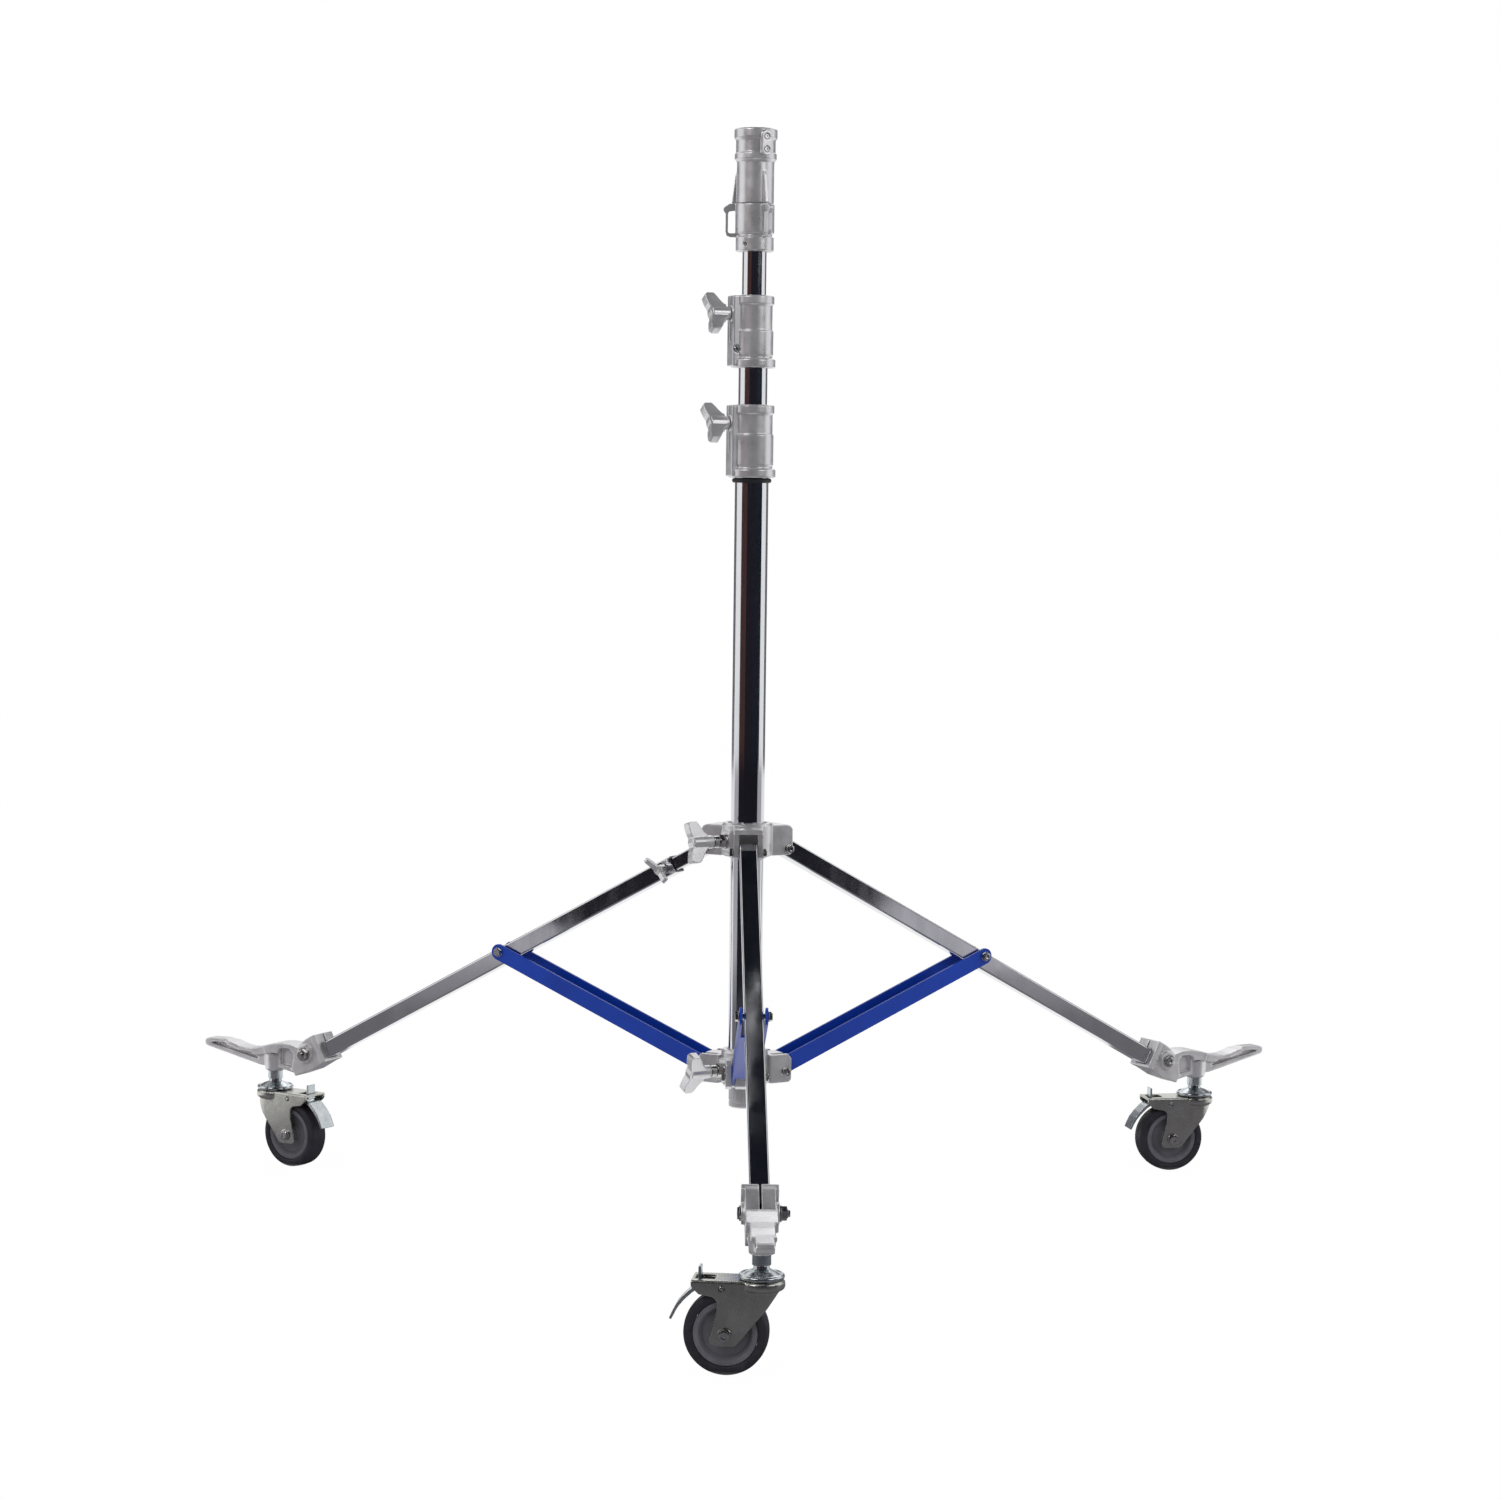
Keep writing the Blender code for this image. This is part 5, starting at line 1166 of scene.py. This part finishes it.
def pedal_mesh():
    lever = [(-4, -3), (22, -3), (26, -5.5), (33, -12), (38, -18), (41.6, -24), (44.5, -30),
             (46.6, -29.2), (43.8, -22.8), (40.5, -16.5), (35.4, -10.2), (28.5, -3.5),
             (25, -0.8), (22, 0.8), (21.5, 16.5), (19.2, 16.5), (18.7, 1.2), (4, 3), (-4, 3)]
    body = plate([(x * MM, z * MM) for x, z in lever], 10.5 * MM)
    waist_box = ((12 * MM, 6 * MM, 1.1 * MM), (28 * MM, 20 * MM, 20 * MM))
    cuts = [mirrored_in_y(block(*waist_box)), block(*waist_box)]
    rivet = along_y(turned([(0, -CHEEK - 0.9 * MM), (1.6 * MM, -CHEEK - 0.9 * MM),
                            (2.2 * MM, -CHEEK - 0.3 * MM), (2.2 * MM, CHEEK + 0.3 * MM),
                            (1.6 * MM, CHEEK + 0.9 * MM), (0, CHEEK + 0.9 * MM)], 24))
    return moved(carved([body, rivet], cuts, 0.5 * MM, 3, 0.45), Matrix.Translation(PEDAL_PIVOT))


print("caster drawings ready")

# %% [markdown]
# The six drawings are copied to each foot and turned to the swivel angle that the photograph
# shows there. The stem rides on the leg, the fork and axle on the swivel, the tyre and hub
# on the wheel, and the pedal on a body of its own.

# %% Three casters
at_axle = shift(x=TRAIL, z=WHEEL_RADIUS)
shapes = {"stem": stem_mesh(), "fork": fork_mesh(), "pedal": pedal_mesh(),
          "tyre": moved(tyre_mesh(), at_axle), "hub": moved(hub_mesh(), at_axle),
          "axle": moved(axle_mesh(), at_axle)}
kinds = (("stem", fresh_zinc, "leg", "zinc", 30), ("fork", zinc, "caster", "zinc", 0),
         ("axle", bolt_steel, "caster", "steel", 30), ("pedal", fresh_zinc, "pedal", "zinc", 0),
         ("tyre", tyre_rubber, "wheel", "tyre", 50),
         ("hub", hub_nylon, "wheel", "wheel_plastic", 30))
for side, angle in SIDES.items():
    place = around_mast(angle) @ shift(x=CASTER_REACH)
    stem_at = Matrix.Translation(place.translation) @ turn(SWIVELS[side])
    for kind, finish, body, slot_name, sharp in kinds:
        piece(f"{kind}_{side}", copy_of(shapes[kind], stem_at), finish, f"{body}_{side}",
              [f"caster_{side}_{kind}"], sharp)
    print("caster", side, "at", [round(value, 3) for value in stem_at.translation])
for shape in shapes.values():
    shape.free()

# %% [markdown]
# The guides inside the tubes stay as they are in the frame, because only their finish can
# ever be seen, down a bore. They get the black nylon.

# %% Hidden guides
for node in ("riser_1_guide", "riser_2_guide"):
    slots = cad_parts[node].data.materials
    slots.clear()
    slots.append(guide_nylon)
print("guides painted")

# %% [markdown]
# The stage is a pale floor and a white world. The camera and the metal see pure white, as in
# a product photograph, while the light that falls on the stand stays at a plain level. A
# Light Path node tells the two apart.

# %% Floor and world


def seen_directly(tree):
    """1 for rays from the camera and through or off a smooth surface, 0 for soft light."""
    path = add_node(tree, "LightPath")
    seen = add_node(tree, "Math", {0: path.outputs["Is Camera Ray"],
                                   1: path.outputs["Is Glossy Ray"]}, operation="MAXIMUM")
    return add_node(tree, "Math", {0: seen.outputs[0], 1: path.outputs["Is Transmission Ray"]},
                    operation="MAXIMUM")


floor = bmesh.new()
bmesh.ops.create_circle(floor, cap_ends=True, segments=64, radius=9.0)
floor_object = as_object(floor, "floor")
floor_paint = bpy.data.materials.new("matt_white_floor_paint")
floor_paint.use_nodes = True
tree = floor_paint.node_tree
paint = tree.nodes["Principled BSDF"]
paint.inputs["Base Color"].default_value = colour("#F4F4F4")
paint.inputs["Roughness"].default_value = 0.9
paint.inputs["Specular IOR Level"].default_value = 0.0
glow = add_node(tree, "Emission", {"Color": colour("#FFFFFF"), "Strength": 1.0})
seen = seen_directly(tree)
FLOOR_GLOW = 0.985
share = add_node(tree, "Math", {0: seen.outputs[0], 1: FLOOR_GLOW}, operation="MULTIPLY")
blend = add_node(tree, "MixShader", {0: share.outputs[0], 1: paint.outputs[0],
                                     2: glow.outputs[0]})
tree.links.new(blend.outputs[0], tree.nodes["Material Output"].inputs["Surface"])
floor_object.data.materials.append(floor_paint)

world = bpy.data.worlds.new("white_studio")
bpy.context.scene.world = world
world.use_nodes = True
tree = world.node_tree
seen = seen_directly(tree)
WORLD_FILL = 0.9
strength = add_node(tree, "MapRange", {"Value": seen.outputs[0], "To Min": WORLD_FILL,
                                       "To Max": 1.0})
sky = tree.nodes["Background"]
sky.inputs["Color"].default_value = (1, 1, 1, 1)
tree.links.new(strength.outputs[0], sky.inputs["Strength"])
print("world fill:", WORLD_FILL)

# %% [markdown]
# Chrome shows its shape only by what it mirrors, so a room is built that reflections alone
# can see. Three dark walls and a ceiling behind the camera give the tubes a dark core
# between white edges. Flat grey strips just above the floor, darker further out in front and
# paler at the sides, grade the undersides and the sloping legs, and two grey screens stand
# behind the stand. The walls and ceiling also shade the light from the white world.

# %% Dark room and lamps
ROOM_RADIUS = 6.0
ROOM_HEIGHT = 6.5
ROOM_FOOT = -0.2
SCREEN_HEIGHT = 3.5
STRIP_HEIGHT = 0.004


def only_in_reflections(name, bm, code, solid=True):
    obj = as_object(bm, name)
    cloth = bpy.data.materials.new(name + "_cloth")
    cloth.use_nodes = True
    shader = cloth.node_tree.nodes["Principled BSDF"]
    shader.inputs["Base Color"].default_value = colour(code)
    shader.inputs["Roughness"].default_value = 1.0
    shader.inputs["Specular IOR Level"].default_value = 0.0
    obj.data.materials.append(cloth)
    obj.visible_camera = False
    obj.visible_diffuse = False
    obj.visible_shadow = solid
    obj.visible_transmission = False


def arc_strip(start, end, near_foot, near_head):
    """A bent strip between two angles counted from the camera side; each edge is (radius, z)."""
    bm = bmesh.new()
    steps = round((end - start) / 3)
    columns = []
    for step in range(steps + 1):
        angle = math.radians(start + (end - start) * step / steps)
        columns.append([bm.verts.new((radius * math.sin(angle), -radius * math.cos(angle), height))
                        for radius, height in (near_foot, near_head)])
    for (foot, head), (next_foot, next_head) in zip(columns, columns[1:]):
        bm.faces.new((foot, next_foot, next_head, head))
    return bm


def floor_strip(name, start, end, inner, outer, code):
    strip = arc_strip(start, end, (inner, STRIP_HEIGHT), (outer, STRIP_HEIGHT))
    only_in_reflections(name, strip, code, solid=False)


for name, start, end, code in (("room_left", -72, -30, "#4E3836"),
                               ("room_middle", -30, 24, "#26232B"),
                               ("room_right", 24, 78, "#22252F")):
    wall = arc_strip(start, end, (ROOM_RADIUS, ROOM_FOOT), (ROOM_RADIUS, ROOM_HEIGHT))
    only_in_reflections(name, wall, code)
for name, inner, outer, code in (("under_floor", 0.1, 0.66, "#6A6A6E"),
                                 ("near_floor", 0.66, 0.8, "#6A6A6E"),
                                 ("mid_floor", 0.8, 1.05, "#55555B"),
                                 ("far_floor", 1.05, 1.5, "#3A3A42"),
                                 ("room_floor", 1.5, ROOM_RADIUS, "#1D1D23")):
    floor_strip(name, -70, 70, inner, outer, code)
for name, inner, outer, code in (("side_near", 0.9, 1.55, "#6E6C70"),
                                 ("side_middle", 1.55, 1.9, "#8A888C"),
                                 ("side_far", 1.9, ROOM_RADIUS, "#B2B0B6")):
    for side, start in (("right", 70), ("left", -108)):
        floor_strip(f"{name}_{side}", start, start + 38, inner, outer, code)
for side, start in (("right", 70), ("left", -150)):
    floor_strip(f"side_under_{side}", start, start + 80, 0.2, 0.9, "#76747A")
for side, start in (("right", 120), ("left", -165)):
    screen = arc_strip(start, start + 45, (ROOM_RADIUS, ROOM_FOOT),
                       (ROOM_RADIUS, SCREEN_HEIGHT))
    only_in_reflections(f"back_screen_{side}", screen, "#77777C", solid=False)
ceiling = bmesh.new()
bmesh.ops.create_circle(ceiling, cap_ends=True, segments=48, radius=ROOM_RADIUS)
only_in_reflections("room_ceiling", moved(ceiling, shift(z=ROOM_HEIGHT)), "#1B1D25")


def soft_lamp(name, power, size, at, aim):
    light = bpy.data.lights.new(name, "AREA")
    light.shape = "RECTANGLE"
    light.size, light.size_y = size
    light.energy = power
    obj = bpy.data.objects.new(name, light)
    bpy.context.scene.collection.objects.link(obj)
    obj.location = at
    obj.rotation_euler = (Vector(aim) - Vector(at)).to_track_quat("-Z", "Y").to_euler()


soft_lamp("key_lamp", 32, (1.6, 1.6), (-2.2, -2.4, 3.0), (0, 0.1, 0.5))
soft_lamp("fill_lamp", 20, (1.8, 1.8), (2.6, -2.0, 2.2), (0, 0.1, 0.5))
soft_lamp("back_lamp", 8, (1.6, 1.6), (0.4, 3.0, 2.8), (0, 0.1, 0.6))
bpy.context.scene.view_settings.view_transform = "Standard"
print("lamps: 3")

# %% [markdown]
# The camera stands 3.4 m away, at two thirds of the stand's height, and looks 4.3 degrees
# down. These values come from fitting the tubes, the wheels and the pivots to the photograph.

# %% Camera
SENSOR_MM = 36
PICTURE_PX = 1500
FOCAL_PX = 3313.1
camera_turn = turn(math.radians(-1.6154))
camera_at = Matrix.Translation(AXIS) @ camera_turn @ Vector((0, -3.4416, 0.76008))
yaw, pitch, roll = 0.0005, 0.0756, 0.0125
forward = Vector((math.sin(yaw) * math.cos(pitch), math.cos(yaw) * math.cos(pitch),
                  -math.sin(pitch)))
right = Vector((math.cos(yaw), -math.sin(yaw), 0))
up = right.cross(forward)
level_right, level_up = right.copy(), up.copy()
right = math.cos(roll) * level_right + math.sin(roll) * level_up
up = -math.sin(roll) * level_right + math.cos(roll) * level_up
axes = Matrix((right, up, -forward)).transposed().to_4x4()
camera_data = bpy.data.cameras.new("photo_camera")
camera_data.sensor_width = SENSOR_MM
camera_data.lens = SENSOR_MM * FOCAL_PX / PICTURE_PX
camera = bpy.data.objects.new("photo_camera", camera_data)
bpy.context.scene.collection.objects.link(camera)
camera.matrix_world = Matrix.Translation(camera_at) @ camera_turn @ axes
bpy.context.scene.camera = camera
print("lens in mm:", round(camera_data.lens, 1))
